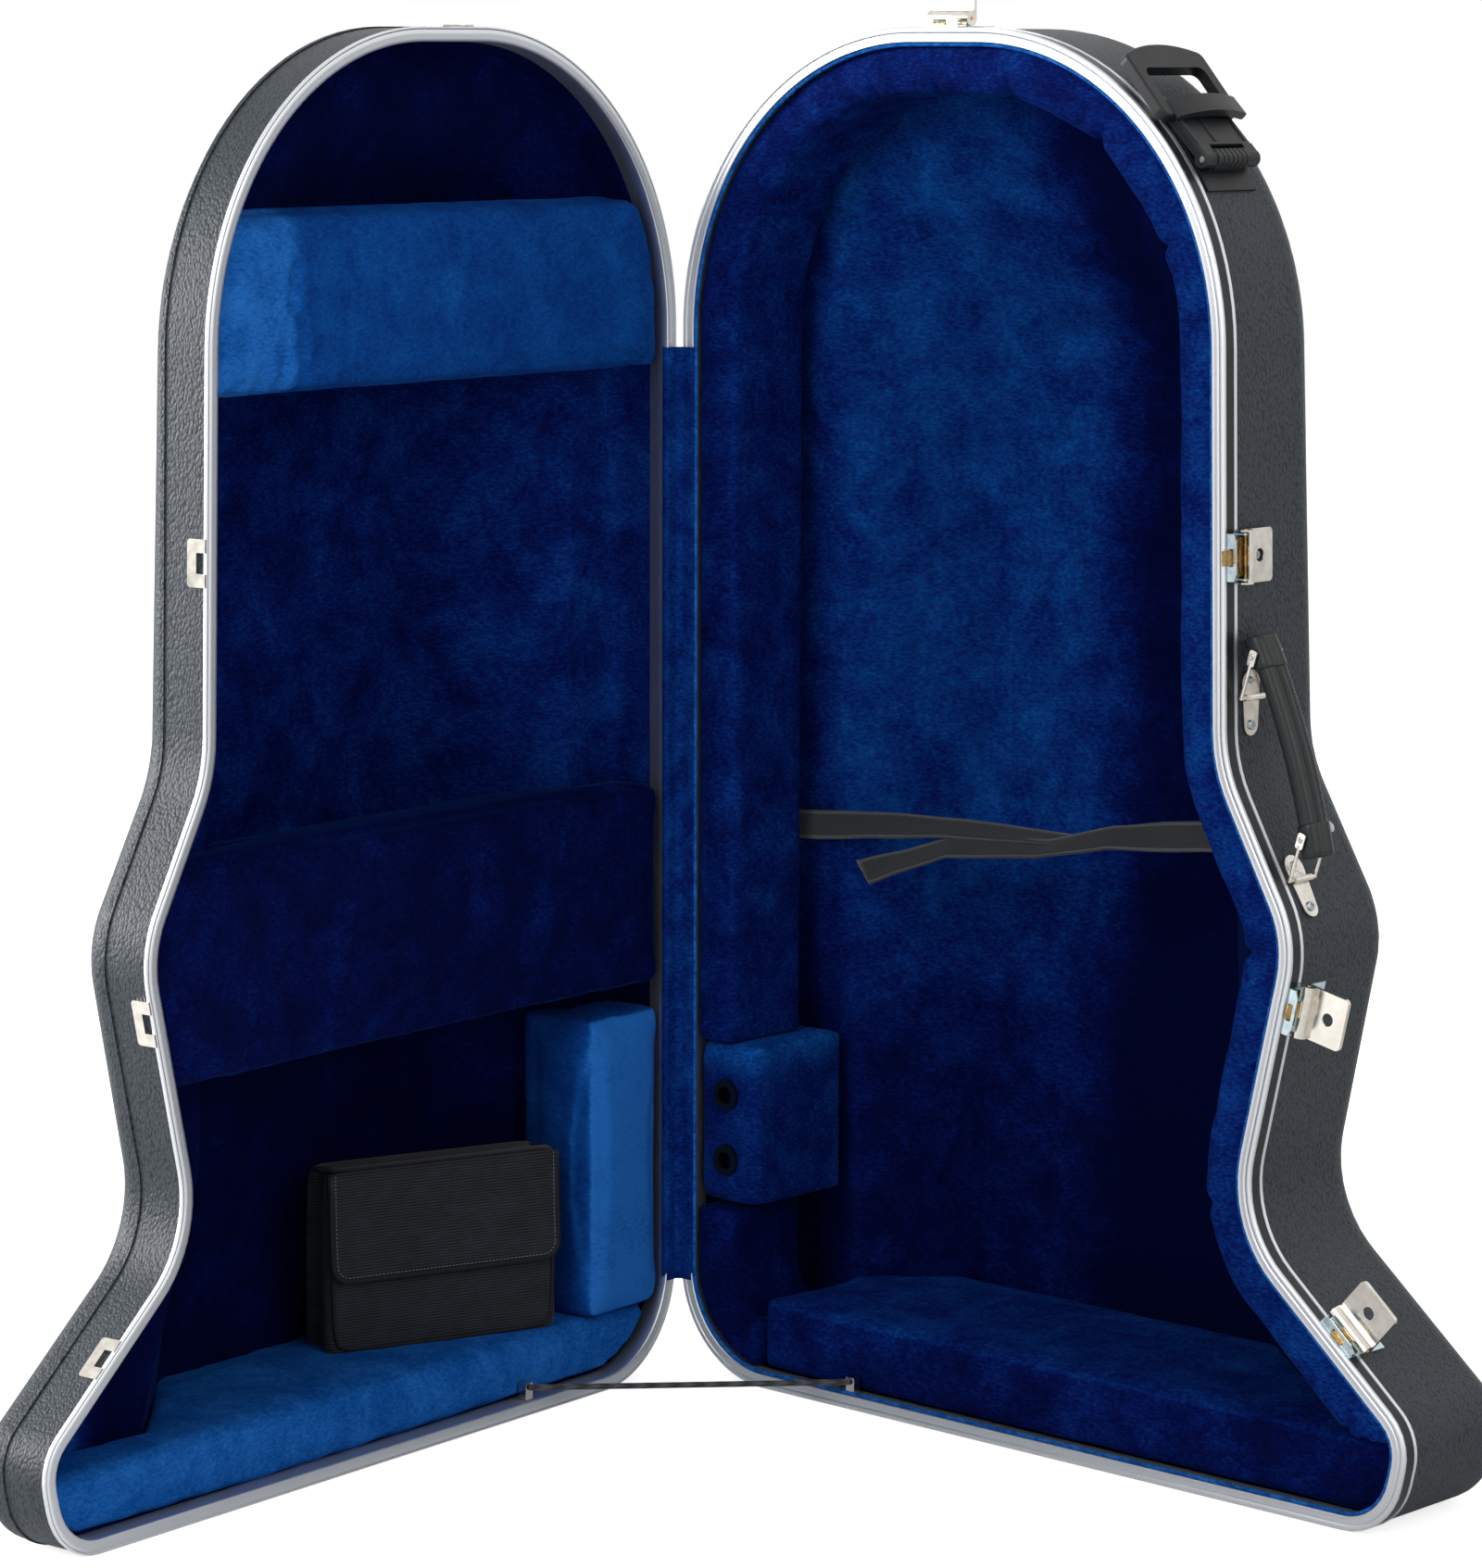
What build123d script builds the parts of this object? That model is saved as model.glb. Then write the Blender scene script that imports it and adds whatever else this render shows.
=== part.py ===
from build123d import *
import math
import os

# Tuba case, standing open on its foot: a deep base half and a shallower lid half.
# Millimetres. Z is up and is the hinge axis. The origin is the hinge axis at the floor.
# The base's rim lies in the XZ plane, its free side towards +X and its depth along +Y.
# The lid is drawn shut, with its depth along -Y, and then swung open about Z.

# Driving dimensions of the outline, seen from the open side
CASE_HEIGHT = 1150.0
BODY_WIDTH = 566.0
BULGE_WIDTH = 652.0
WAIST_WIDTH = 602.0
FOOT_WIDTH = 768.0
ARCH_RADIUS = 250.0
HINGE_SIDE = 2.6

# Driving dimensions of the two halves
OPENING_ANGLE = 85.0
BASE_FOOT_DEPTH = 148.0
BASE_TOP_DEPTH = 116.0
BASE_BELL_DEPTH = 235.0
LID_FOOT_DEPTH = 80.0
LID_TOP_DEPTH = 62.0
LID_BELL_DEPTH = 180.0
RIM_WIDTH = 12.0
RIM_GAP = 0.8
RIM_FACE = 3.2
BAND_END = 14.0
TRIM_END = 17.5
WALL = 5.0
LINING = 2.5
LEATHER_STEP = 1.2
PAD_WIDTH = 40.0

# Corners of the outline, clockwise from the hinge foot: x, z and the rounding there
OUTLINE = [
    (HINGE_SIDE, 0.0, 95.0),
    (HINGE_SIDE, CASE_HEIGHT, ARCH_RADIUS),
    (BODY_WIDTH, CASE_HEIGHT, ARCH_RADIUS),
    (BODY_WIDTH + 14.0, 585.0, 110.0),
    (BULGE_WIDTH, 455.0, 90.0),
    (WAIST_WIDTH, 228.0, 90.0),
    (FOOT_WIDTH, 83.0, 45.0),
    (FOOT_WIDTH - 18.0, 0.0, 55.0),
]
# The moulded belly on the back of each half: outline where it leaves the back, and at its crown
BELLY_FOOT = [(55.0, 22.0, 30.0), (55.0, 1085.0, 170.0), (512.0, 1085.0, 170.0), (548.0, 250.0, 60.0), (640.0, 22.0, 30.0)]
BELLY_CROWN = [(150.0, 22.0, 24.0), (150.0, 900.0, 110.0), (400.0, 900.0, 110.0), (440.0, 300.0, 60.0), (480.0, 22.0, 24.0)]

BASE, LID = 1, -1
CLOSED_TO_OPEN = Rot(0, 0, -OPENING_ANGLE)


def unit(dx, dz):
    length = math.hypot(dx, dz)
    return dx / length, dz / length


def inset(corners, distance):
    """The same corners moved inwards by a distance, with their roundings to match."""
    moved = []
    for i, (x, z, radius) in enumerate(corners):
        before, after = corners[i - 1], corners[(i + 1) % len(corners)]
        ax, az = unit(x - before[0], z - before[1])
        bx, bz = unit(after[0] - x, after[1] - z)
        step = distance / (1 + ax * bx + az * bz)
        convex = ax * bz - az * bx < 0
        rounding = max(radius - distance, 5.0) if convex else radius + distance
        moved.append((x + step * (az + bz), z - step * (ax + bx), rounding))
    return moved


def outline_face(corners):
    """A face in the XZ plane inside rounded corners."""
    path = FilletPolyline(*[(x, z) for x, z, _ in corners], radius=[r for _, _, r in corners], close=True)
    return Plane.XZ * make_face(path)


def slab(corners, side, start, end):
    """The outline made solid from one depth to another, on the base's or the lid's side."""
    return Pos(0, side * start, 0) * extrude(outline_face(corners), amount=-side * (end - start))


def ring(side, outer, inner, start, end):
    """A band that follows the outline, between two insets and two depths."""
    return slab(inset(OUTLINE, outer), side, start, end) - slab(inset(OUTLINE, inner), side, start, end)


def block(side, low, high):
    """A box between two corners given as (x, depth, z)."""
    size = [high[i] - low[i] for i in range(3)]
    middle = [(high[i] + low[i]) / 2 for i in range(3)]
    return Pos(middle[0], side * middle[1], middle[2]) * Box(*size)


def depths(side):
    if side == BASE:
        return BASE_FOOT_DEPTH, BASE_TOP_DEPTH, BASE_BELL_DEPTH, TRIM_END
    return LID_FOOT_DEPTH, LID_TOP_DEPTH, LID_BELL_DEPTH, RIM_GAP + RIM_FACE


def half_body(side, thickness, front):
    """The moulded form of one half, shrunk inwards by a thickness: tray and belly."""
    foot, top, bell, _ = depths(side)
    shrink = LEATHER_STEP + thickness
    tray = slab(inset(OUTLINE, shrink), side, front, foot)
    wedge = Polygon((side * (front - 1), -10), (side * (foot - thickness), -10),
                    (side * (top - thickness), CASE_HEIGHT + 10), (side * (front - 1), CASE_HEIGHT + 10), align=None)
    tray = tray & extrude(Plane.YZ * wedge, amount=FOOT_WIDTH + 40, both=True)
    back = tray.faces().sort_by(Axis.Y)[-1 if side == BASE else 0]
    tray = fillet(back.edges(), (26.0 if side == BASE else 20.0) - thickness)
    start = side * (top - 12.0)
    belly = loft([Pos(0, start, 0) * outline_face(inset(BELLY_FOOT, thickness)),
                  Pos(0, side * (bell - thickness), 0) * outline_face(inset(BELLY_CROWN, thickness))])
    crown = belly.faces().sort_by(Axis.Y)[-1 if side == BASE else 0]
    belly = fillet(crown.edges(), 18.0 - thickness if side == BASE else 14.0 - 0.6 * thickness)
    return tray + belly


def shell(side):
    """Wooden shell of one half, 5 mm thick, with a step that the rim's edging sits in."""
    _, _, _, edge = depths(side)
    form = half_body(side, 0.0, edge)
    if side == BASE:
        form = form + slab(inset(OUTLINE, 3.0), side, RIM_GAP + RIM_FACE, edge + 1.0)
    return form - half_body(side, WALL, RIM_GAP)


def lining(side):
    """Velvet glued to the inside of the shell."""
    front = RIM_GAP + RIM_FACE + 4.0
    return half_body(side, WALL, front) - half_body(side, WALL + LINING, front - 1.0)


def rim(side):
    """Aluminium edge profile: a flat face, and a lip inside the shell that holds it."""
    face = ring(side, 0.0, RIM_WIDTH, RIM_GAP, RIM_GAP + RIM_FACE)
    lip = ring(side, RIM_WIDTH - 3.2, RIM_WIDTH, RIM_GAP + RIM_FACE, 20.0)
    inner_wall = ring(side, RIM_WIDTH - 5.8, RIM_WIDTH - 3.2, RIM_GAP + RIM_FACE, 8.0)
    profile = face + lip + inner_wall
    recess_depth = RIM_GAP + 0.7
    recess = block(side, (0, 0, STRIP_LOW), (RIM_WIDTH + HINGE_SIDE + 1, recess_depth, STRIP_HIGH))
    return profile - recess


# Velvet strip over both rims along the hinge
STRIP_LOW, STRIP_HIGH = 80.0, 885.0

parts = {}


def add(name, shape, swung=False):
    parts[name] = (CLOSED_TO_OPEN * shape) if swung else shape


# Shells, rims and the base's black band with its bright trim
add("base_shell", shell(BASE))
add("base_rim", rim(BASE))
add("base_band", ring(BASE, 0.6, 3.0, RIM_GAP + RIM_FACE, BAND_END))
add("base_trim", ring(BASE, 0.0, 3.0, BAND_END, TRIM_END))
add("lid_shell", shell(LID) + (ring(LID, 0.0, 3.0, 46.0, 50.0) - half_body(LID, 2.0, 40.0)), swung=True)
add("lid_rim", rim(LID), swung=True)


def strip(side):
    return block(side, (HINGE_SIDE, RIM_GAP - 0.6, STRIP_LOW + 0.5), (HINGE_SIDE + RIM_WIDTH, RIM_GAP + 0.7, STRIP_HIGH - 0.5))


add("hinge_cover_base", strip(BASE))
add("hinge_cover_lid", strip(LID), swung=True)

# Piano hinge behind the rims: two leaves with turned knuckles, and one long pin
HINGE_LOW, HINGE_HIGH, KNUCKLES = 110.0, 870.0, 9
PIN_RADIUS, KNUCKLE_RADIUS, KNUCKLE_GAP = 1.0, 2.2, 0.4
KNUCKLE_PITCH = (HINGE_HIGH - HINGE_LOW) / KNUCKLES


def hinge_leaf(side):
    """A leaf on the outside of the hinge wall, with its own knuckles."""
    leaf = block(side, (1.3, 0.5, HINGE_LOW), (HINGE_SIDE - 0.05, 16.0, HINGE_HIGH))
    if side == BASE:
        leaf = leaf - block(side, (2.45, 3.9, HINGE_LOW - 1), (4.0, 17.0, HINGE_HIGH + 1))
    own = 0 if side == BASE else 1
    knuckles = []
    for i in range(KNUCKLES):
        low = HINGE_LOW + i * KNUCKLE_PITCH
        length = KNUCKLE_PITCH - KNUCKLE_GAP
        middle = Pos(0, 0, low + KNUCKLE_PITCH / 2)
        if i % 2 == own:
            knuckles.append(middle * Cylinder(KNUCKLE_RADIUS, length))
        else:
            leaf = leaf - middle * Cylinder(KNUCKLE_RADIUS + 0.3, KNUCKLE_PITCH + KNUCKLE_GAP)
    for knuckle in knuckles:
        leaf = leaf + knuckle
    bore = Pos(0, 0, (HINGE_LOW + HINGE_HIGH) / 2) * Cylinder(PIN_RADIUS + 0.06, HINGE_HIGH - HINGE_LOW + 2)
    return leaf - bore


add("hinge_leaf_base", hinge_leaf(BASE))
add("hinge_leaf_lid", hinge_leaf(LID), swung=True)
add("hinge_pin", Pos(0, 0, (HINGE_LOW + HINGE_HIGH) / 2) * Cylinder(PIN_RADIUS, HINGE_HIGH - HINGE_LOW - 1))

# Velvet linings, glued inside
add("base_lining", lining(BASE))
add("lid_lining", lining(LID), swung=True)

# Padded ring round the base's wall, above the floor pad and the mouthpiece block, and the
# short pad in the hinge corner below that block
PAD_FRONT = 7.0
RING_BACK = 97.0
FLOOR_PAD_TOP = 72.0
BLOCK_LOW, BLOCK_HIGH, BLOCK_RIGHT = 152.0, 292.0, 80.0
PAD_ROUNDING = 9.0


def ring_pad():
    outer, inner = RIM_WIDTH + 0.6, RIM_WIDTH + PAD_WIDTH
    pad = ring(BASE, outer, inner, PAD_FRONT, RING_BACK)
    pad = pad - block(BASE, (84, 0, 0), (900, 200, FLOOR_PAD_TOP + 1.0))
    return pad - block(BASE, (0, 0, BLOCK_LOW - 0.6), (110, 200, BLOCK_HIGH + 0.6))


ring_pieces = ring_pad().solids().sort_by(SortBy.VOLUME)
add("base_ring_pad", ring_pieces[-1])
add("base_corner_pad", ring_pieces[0])


def soft_block(side, low, high, rounding):
    """A foam block covered in velvet: a box with rounded front edges, cut to the lining behind."""
    cushion = fillet(block(side, low, high).faces().sort_by(Axis.Y)[0 if side == BASE else -1].edges(), rounding)
    return cushion & half_body(side, WALL + LINING + 0.4, 5.0) & slab(inset(OUTLINE, RIM_WIDTH + 0.6), side, 5.0, 300.0)


add("base_floor_pad", soft_block(BASE, (84.6, PAD_FRONT + 5, 2.0), (775.0, 205.0, FLOOR_PAD_TOP), PAD_ROUNDING))
add("lid_floor_pad", soft_block(LID, (2.0, PAD_FRONT + 5, 2.0), (775.0, 175.0, 60.0), PAD_ROUNDING), swung=True)
add("lid_side_block", soft_block(LID, (2.0, PAD_FRONT, 61.0), (108.0, 86.0, 322.0), PAD_ROUNDING), swung=True)
add("lid_middle_pad", soft_block(LID, (2.0, PAD_FRONT, 341.0), (700.0, 90.0, 514.0), PAD_ROUNDING), swung=True)
add("lid_top_pad", soft_block(LID, (2.0, PAD_FRONT, 868.0), (600.0, 60.0, 1010.0), PAD_ROUNDING), swung=True)

# Block with two rubber grommets, where mouthpieces stand by their shanks
GROMMET_X = 47.0
GROMMET_HEIGHTS = (190.0, 247.0)
GROMMET_RADIUS, SHANK_RADIUS, POCKET_DEPTH = 13.0, 7.5, 62.0
BLOCK_FRONT = 10.0


def into_depth(x, z, radius, start, end):
    """A cylinder along the depth of the base."""
    return Pos(x, (start + end) / 2, z) * Rot(90, 0, 0) * Cylinder(radius, end - start)


def mouthpiece_block():
    body = soft_block(BASE, (2.0, BLOCK_FRONT, BLOCK_LOW), (BLOCK_RIGHT, 122.0, BLOCK_HIGH), PAD_ROUNDING)
    for z in GROMMET_HEIGHTS:
        body = body - into_depth(GROMMET_X, z, GROMMET_RADIUS - 2.0, BLOCK_FRONT - 1, BLOCK_FRONT + 8)
        body = body - into_depth(GROMMET_X, z, SHANK_RADIUS + 2.5, BLOCK_FRONT - 1, BLOCK_FRONT + POCKET_DEPTH)
    return body


def grommet(z):
    flange = into_depth(GROMMET_X, z, GROMMET_RADIUS, BLOCK_FRONT - 2.5, BLOCK_FRONT)
    neck = into_depth(GROMMET_X, z, GROMMET_RADIUS - 2.0, BLOCK_FRONT, BLOCK_FRONT + 8)
    bore = into_depth(GROMMET_X, z, SHANK_RADIUS, BLOCK_FRONT - 4, BLOCK_FRONT + 9)
    return flange + neck - bore


add("mouthpiece_block", mouthpiece_block())
add("mouthpiece_grommets", Compound(children=[grommet(z) for z in GROMMET_HEIGHTS]))

# Tie strap across the base: two black webbing bands that lap in the middle. Each is sewn to
# the lining behind the padded ring, and the front one has a loose tail with a slanted cut.
STRAP_WIDTH, STRAP_THICKNESS = 25.0, 1.5
STRAP_DEPTH = 99.0


def band(points, depth):
    """A flat band that follows points (x, z), as wide as the webbing."""
    upper = [(x, z + STRAP_WIDTH / 2) for x, z in points]
    lower = [(x + 6.0, z - STRAP_WIDTH / 2) for x, z in reversed(points)]
    outline = Plane.XZ * make_face(Polyline(*(upper + lower), close=True))
    return Pos(0, depth, 0) * extrude(outline, amount=-STRAP_THICKNESS)


add("strap_back_band", band([(16.0, 468.0), (120.0, 478.0), (230.0, 485.0), (345.0, 487.0)], STRAP_DEPTH + 2.2))
FRONT_BAND = [(120.0, 438.0), (171.0, 454.0), (219.0, 471.0), (319.0, 480.0), (390.0, 497.0), (481.0, 508.0), (600.0, 518.0)]
add("strap_front_band", band(FRONT_BAND, STRAP_DEPTH))

# Stay cord between the halves. It is pulled straight when the case is open.
CORD_DIAMETER = 5.0
CORD_X, CORD_HEIGHT = 196.0, 23.0
ANCHOR_FRONT, ANCHOR_SIZE = 3.5, 9.0


def cord_anchor(side):
    """A small metal clip, screwed to the rim's lip, that holds the cord's end."""
    low = (CORD_X - ANCHOR_SIZE / 2, ANCHOR_FRONT, RIM_WIDTH + 0.05)
    high = (CORD_X + ANCHOR_SIZE / 2, PAD_FRONT + 4.4, CORD_HEIGHT + CORD_DIAMETER / 2 + 1.5)
    return fillet(block(side, low, high).edges().filter_by(Axis.Y), 1.5)


cord_start = Vector(CORD_X, ANCHOR_FRONT, CORD_HEIGHT)
cord_end = CLOSED_TO_OPEN * Pos(CORD_X, -ANCHOR_FRONT, CORD_HEIGHT)
cord_line = Line(cord_start, cord_end.position)
cord_plane = Plane(origin=cord_start, z_dir=cord_line % 0)
add("stay_cord", extrude(cord_plane * Circle(CORD_DIAMETER / 2), amount=cord_line.length)
    - block(BASE, (0, ANCHOR_FRONT, 0), (400, 60, 60)) - CLOSED_TO_OPEN * block(LID, (0, ANCHOR_FRONT, 0), (400, 60, 60)))
add("cord_anchor_base", cord_anchor(BASE))
add("cord_anchor_lid", cord_anchor(LID), swung=True)
print("stay cord length", round(cord_line.length, 1))


def wall_plane(side, edge, along):
    """A plane on one straight side of the outline: X into the depth, Z out of the case."""
    x0, z0, _ = OUTLINE[edge]
    x1, z1, _ = OUTLINE[edge + 1]
    dx, dz = unit(x1 - x0, z1 - z0)
    origin = (x0 + along * (x1 - x0), 0, z0 + along * (z1 - z0))
    return Plane(origin=origin, x_dir=(0, side, 0), z_dir=(-dz, 0, dx))


# Four latches along the free side. Where each sits: its name, the side of the outline,
# how far along it, and whether its lever stands open
LATCHES = [("top", 1, 0.494, True), ("upper", 2, 0.715, False), ("middle", 4, 0.243, True), ("lower", 5, 0.55, True)]
LATCH_HALF = 18.5
PLATE_TOP = 0.85
UPSTAND_HEIGHT = 9.0
PIVOT_DEPTH, PIVOT_HEIGHT = 19.0, 7.2
LEVER_RADIUS, LEVER_SHEET, LEVER_HALF = 6.2, 1.3, 21.0
LEVER_END = 56.0
LEVER_OPEN_ANGLE = 90.0
LATCH_PIN_RADIUS = 1.4
SCREW_DEPTH = 40.0
CLAW_TRAVEL = 7.0


def local_box(low, high):
    size = [high[i] - low[i] for i in range(3)]
    middle = [(high[i] + low[i]) / 2 for i in range(3)]
    return Pos(*middle) * Box(*size)


def across(depth, height, radius, half):
    """A cylinder along the rim, centred, in a latch's own frame."""
    return Pos(depth, 0, height) * Rot(90, 0, 0) * Cylinder(radius, 2 * half)


def latch_plate():
    """Base plate with a slotted upstand at the rim, and two ears for the pin."""
    plate = local_box((4.0, -LATCH_HALF, 0.05), (17.6, LATCH_HALF, PLATE_TOP))
    plate = plate + local_box((17.6, -LATCH_HALF, 0.05 - LEATHER_STEP), (50.0, LATCH_HALF, PLATE_TOP))
    upstand = local_box((4.0, -LATCH_HALF, 0.05), (5.2, LATCH_HALF, UPSTAND_HEIGHT))
    upstand = chamfer(upstand.edges().filter_by(Axis.X).sort_by(Axis.Z)[-2:], 3.0, 6.0)
    plate = plate + upstand - local_box((3.0, -7.0, 1.9), (6.0, 7.0, 6.4))
    for y in (-17.6, 17.6):
        plate = plate + local_box((15.9, y - 0.65, PLATE_TOP - 0.1), (22.0, y + 0.65, PIVOT_HEIGHT))
        plate = plate + Pos(0, y, 0) * across(PIVOT_DEPTH, PIVOT_HEIGHT, 4.2, 0.65)
    return plate - across(PIVOT_DEPTH, PIVOT_HEIGHT, LATCH_PIN_RADIUS, 30)


def latch_lever():
    """Sheet-steel lever, drawn shut: a rolled front over the pin and a flat with a screw hole."""
    roll = across(PIVOT_DEPTH, PIVOT_HEIGHT, LEVER_RADIUS, LEVER_HALF)
    roll = roll - across(PIVOT_DEPTH, PIVOT_HEIGHT, LEVER_RADIUS - LEVER_SHEET, LEVER_HALF - LEVER_SHEET)
    inside = LEVER_HALF - LEVER_SHEET
    roll = roll - local_box((0, -inside, -2), (16.0, inside, 20)) - local_box((0, -inside, -2), (30, inside, 7.5))
    flat = local_box((PIVOT_DEPTH + 3, -LEVER_HALF, 1.3), (LEVER_END, LEVER_HALF, 4.8))
    flat = flat - local_box((PIVOT_DEPTH, -inside, 0), (LEVER_END - LEVER_SHEET, inside, 4.8 - LEVER_SHEET))
    corner = flat.edges().filter_by(Axis.Z).sort_by(Axis.X)[-2:]
    flat = fillet(corner, 4.0)
    flat = flat - across(PIVOT_DEPTH, PIVOT_HEIGHT, LEVER_RADIUS - LEVER_SHEET, inside)
    lever = roll + flat - Pos(SCREW_DEPTH, 0, 5) * Cylinder(5.2, 8)
    riser = local_box((PIVOT_DEPTH + 4.9, -inside - 0.2, 3.6), (PIVOT_DEPTH + 6.2, inside + 0.2, 7.6))
    return lever + riser - across(PIVOT_DEPTH, PIVOT_HEIGHT, LATCH_PIN_RADIUS + 0.06, 30)


def latch_claw():
    """Sliding claw under the pin, with a narrow tongue that reaches over to the lid, drawn out."""
    bar = local_box((13.0, -15.0, 2.0), (22.0, 15.0, 3.0)) + local_box((-5.0, -6.0, 2.0), (13.5, 6.0, 3.0))
    upstand = local_box((13.0, -15.0, 2.9), (14.2, 15.0, 5.5)) - local_box((12.0, -8.0, 3.0), (15.0, 8.0, 7.0))
    return bar + upstand


def keeper():
    """Bent steel keeper on the lid, with a notch at the rim for the claw."""
    plate = local_box((1.2, -LATCH_HALF, 0.05), (5.0, LATCH_HALF, 1.5))
    plate = plate + local_box((4.9, -LATCH_HALF, 0.05 - LEATHER_STEP), (20.0, LATCH_HALF, 1.5))
    plate = plate - local_box((0, -8.0, -3), (10.5, 8.0, 3))
    return fillet(plate.edges().filter_by(Axis.Z).sort_by(Axis.X)[-2:], 3.0)


def screw(height, radius, cross):
    """A countersunk-style head with a cross recess, on its own Z axis from zero up."""
    head = Pos(0, 0, height / 2) * Cylinder(radius, height)
    head = fillet(head.edges().sort_by(Axis.Z)[-1], height * 0.45)
    for turn in (0, 90):
        head = head - Pos(0, 0, height) * Rot(0, 0, turn) * Box(cross, cross * 0.28, height * 0.9)
    return head


opened = Pos(PIVOT_DEPTH, 0, PIVOT_HEIGHT) * Rot(0, -LEVER_OPEN_ANGLE, 0) * Pos(-PIVOT_DEPTH, 0, -PIVOT_HEIGHT)
plates, pins, screws, keepers = [], [], [], []
for name, edge, along, is_open in LATCHES:
    place = wall_plane(BASE, edge, along)
    plates.append(place * latch_plate())
    pins.append(place * across(PIVOT_DEPTH, PIVOT_HEIGHT, LATCH_PIN_RADIUS, LEVER_HALF + 0.6))
    screws.append(place * (Pos(SCREW_DEPTH, 0, PLATE_TOP) * screw(1.7, 3.6, 4.0)))
    keepers.append(wall_plane(LID, edge, along) * keeper())
    add(f"latch_lever_{name}", place * ((opened * latch_lever()) if is_open else latch_lever()))
    add(f"latch_claw_{name}", place * (Pos(CLAW_TRAVEL if is_open else 0, 0, 0) * latch_claw()))
    axis = place.y_dir
    pivot = place.from_local_coords((PIVOT_DEPTH, 0, PIVOT_HEIGHT))
    print("latch", name, "pivot", pivot, "axis", axis)
add("latch_plates", Compound(children=plates))
add("latch_pins", Compound(children=pins))
add("latch_screws", Compound(children=screws))
add("latch_keepers", Compound(children=keepers), swung=True)

# Carrying handle on two wire links. The links stay parallel, so the grip swings out from
# the wall without turning. Both pivots are barrels on plates screwed to the wall.
LINK_X, LINK_Z = 10.0, 33.0
UPPER_ALONG, LOWER_ALONG = (CASE_HEIGHT - 636.0) / 565.0, (585.0 - 497.0) / 130.0
HANDLE_MIDDLE = 34.0
GRIP_HALF = 12.8
COLLAR_SHEET, COLLAR_LENGTH = 1.4, 24.0
WIRE_RADIUS = 1.5
BARREL_HEIGHT = 3.4
LINK_HALF = 16.0


def handle_plate():
    """Teardrop plate with a barrel, in the wall's frame, the round end down the wall."""
    plate = make_hull((Pos(0, 10) * Circle(11.0)).edges() + (Pos(0, -22) * Circle(8.5)).edges())
    sheet = Pos(0, 0, -LEATHER_STEP + 0.35) * extrude(plate, amount=1.55)
    barrel = Pos(0, 0, BARREL_HEIGHT) * Rot(0, 90, 0) * Cylinder(2.9, 22.0)
    web = local_box((-11, -2.2, 0.2), (11, 2.2, BARREL_HEIGHT))
    bore = Pos(0, 0, BARREL_HEIGHT) * Rot(0, 90, 0) * Cylinder(WIRE_RADIUS + 0.06, 40.0)
    return sheet + barrel + web - bore


def link(pivot):
    """Wire bail: a cross wire through the barrel and two arms with flattened, drilled ends."""
    eye = (pivot[0] + LINK_X, pivot[1] + LINK_Z)
    angle = math.degrees(math.atan2(LINK_Z, LINK_X))
    length = math.hypot(LINK_X, LINK_Z)
    cross = into_depth(pivot[0], pivot[1], WIRE_RADIUS, HANDLE_MIDDLE - LINK_HALF - 0.5, HANDLE_MIDDLE + LINK_HALF + 0.5)
    shape = cross
    for y in (HANDLE_MIDDLE - LINK_HALF, HANDLE_MIDDLE + LINK_HALF):
        arm = Pos(pivot[0], y, pivot[1]) * Rot(0, 90 - angle, 0) * Pos(0, 0, (length - 6) / 2) * Cylinder(WIRE_RADIUS, length - 4)
        tab = Pos(eye[0], y, eye[1]) * Rot(0, 90 - angle, 0) * Pos(0, 0, -1.0) * Box(7.0, 1.8, 13.0)
        shape = shape + arm + fillet(tab.edges().filter_by(Axis.Y), 2.2)
    return shape - into_depth(eye[0], eye[1], 1.36, 0, 100)


upper_pivot = wall_plane(BASE, 2, UPPER_ALONG).from_local_coords((0, 0, BARREL_HEIGHT))
lower_pivot = wall_plane(BASE, 3, LOWER_ALONG).from_local_coords((0, 0, BARREL_HEIGHT))
handle_plates, handle_screws = [], []
for edge, along in ((2, UPPER_ALONG), (3, LOWER_ALONG)):
    place = wall_plane(BASE, edge, along)
    handle_plates.append(place * (Pos(HANDLE_MIDDLE, 0, 0) * handle_plate()))
    handle_screws.append(place * (Pos(HANDLE_MIDDLE, -22, 0.7) * screw(2.0, 4.0, 4.4)))
    handle_screws.append(place * (Pos(HANDLE_MIDDLE, 13, 0.7) * screw(1.5, 2.8, 3.0)))
add("handle_plates", Compound(children=handle_plates))
add("handle_screws", Compound(children=handle_screws))
add("handle_link_upper", link((upper_pivot.X, upper_pivot.Z)))
add("handle_link_lower", link((lower_pivot.X, lower_pivot.Z)))
print("handle pivots", upper_pivot, lower_pivot)

# Grip: a moulded bar, slightly bowed outwards, with a sleeve riveted on each end
eye_top = Vector(upper_pivot.X + LINK_X, 0, upper_pivot.Z + LINK_Z)
eye_low = Vector(lower_pivot.X + LINK_X, 0, lower_pivot.Z + LINK_Z)
grip_axis = (eye_low - eye_top).normalized()
grip_out = Vector(-grip_axis.Z, 0, grip_axis.X)
GRIP_OVERHANG = 14.0
GRIP_THIN, GRIP_BOW = 7.5, 6.0


def grip_point(along, out):
    """A point (x, z) on the grip: how far along it from the upper eye, and how far out."""
    point = eye_top + grip_axis * along + grip_out * out
    return point.X, point.Z


def grip_bar(start, end, thickness, half, bow):
    """A bar that follows the grip from one place to another."""
    middle = (start + end) / 2
    outer = ThreePointArc(grip_point(start, thickness), grip_point(middle, thickness + bow + 1.5), grip_point(end, thickness))
    inner = ThreePointArc(grip_point(end, -thickness), grip_point(middle, bow - thickness), grip_point(start, -thickness))
    edges = [outer, Line(outer @ 1, inner @ 0), inner, Line(inner @ 1, outer @ 0)]
    bar = Plane.XZ * make_face(Curve() + edges)
    solid = extrude(bar, amount=half, both=True)
    return Pos(0, HANDLE_MIDDLE, 0) * fillet(solid.edges(), 4.5)


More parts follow.
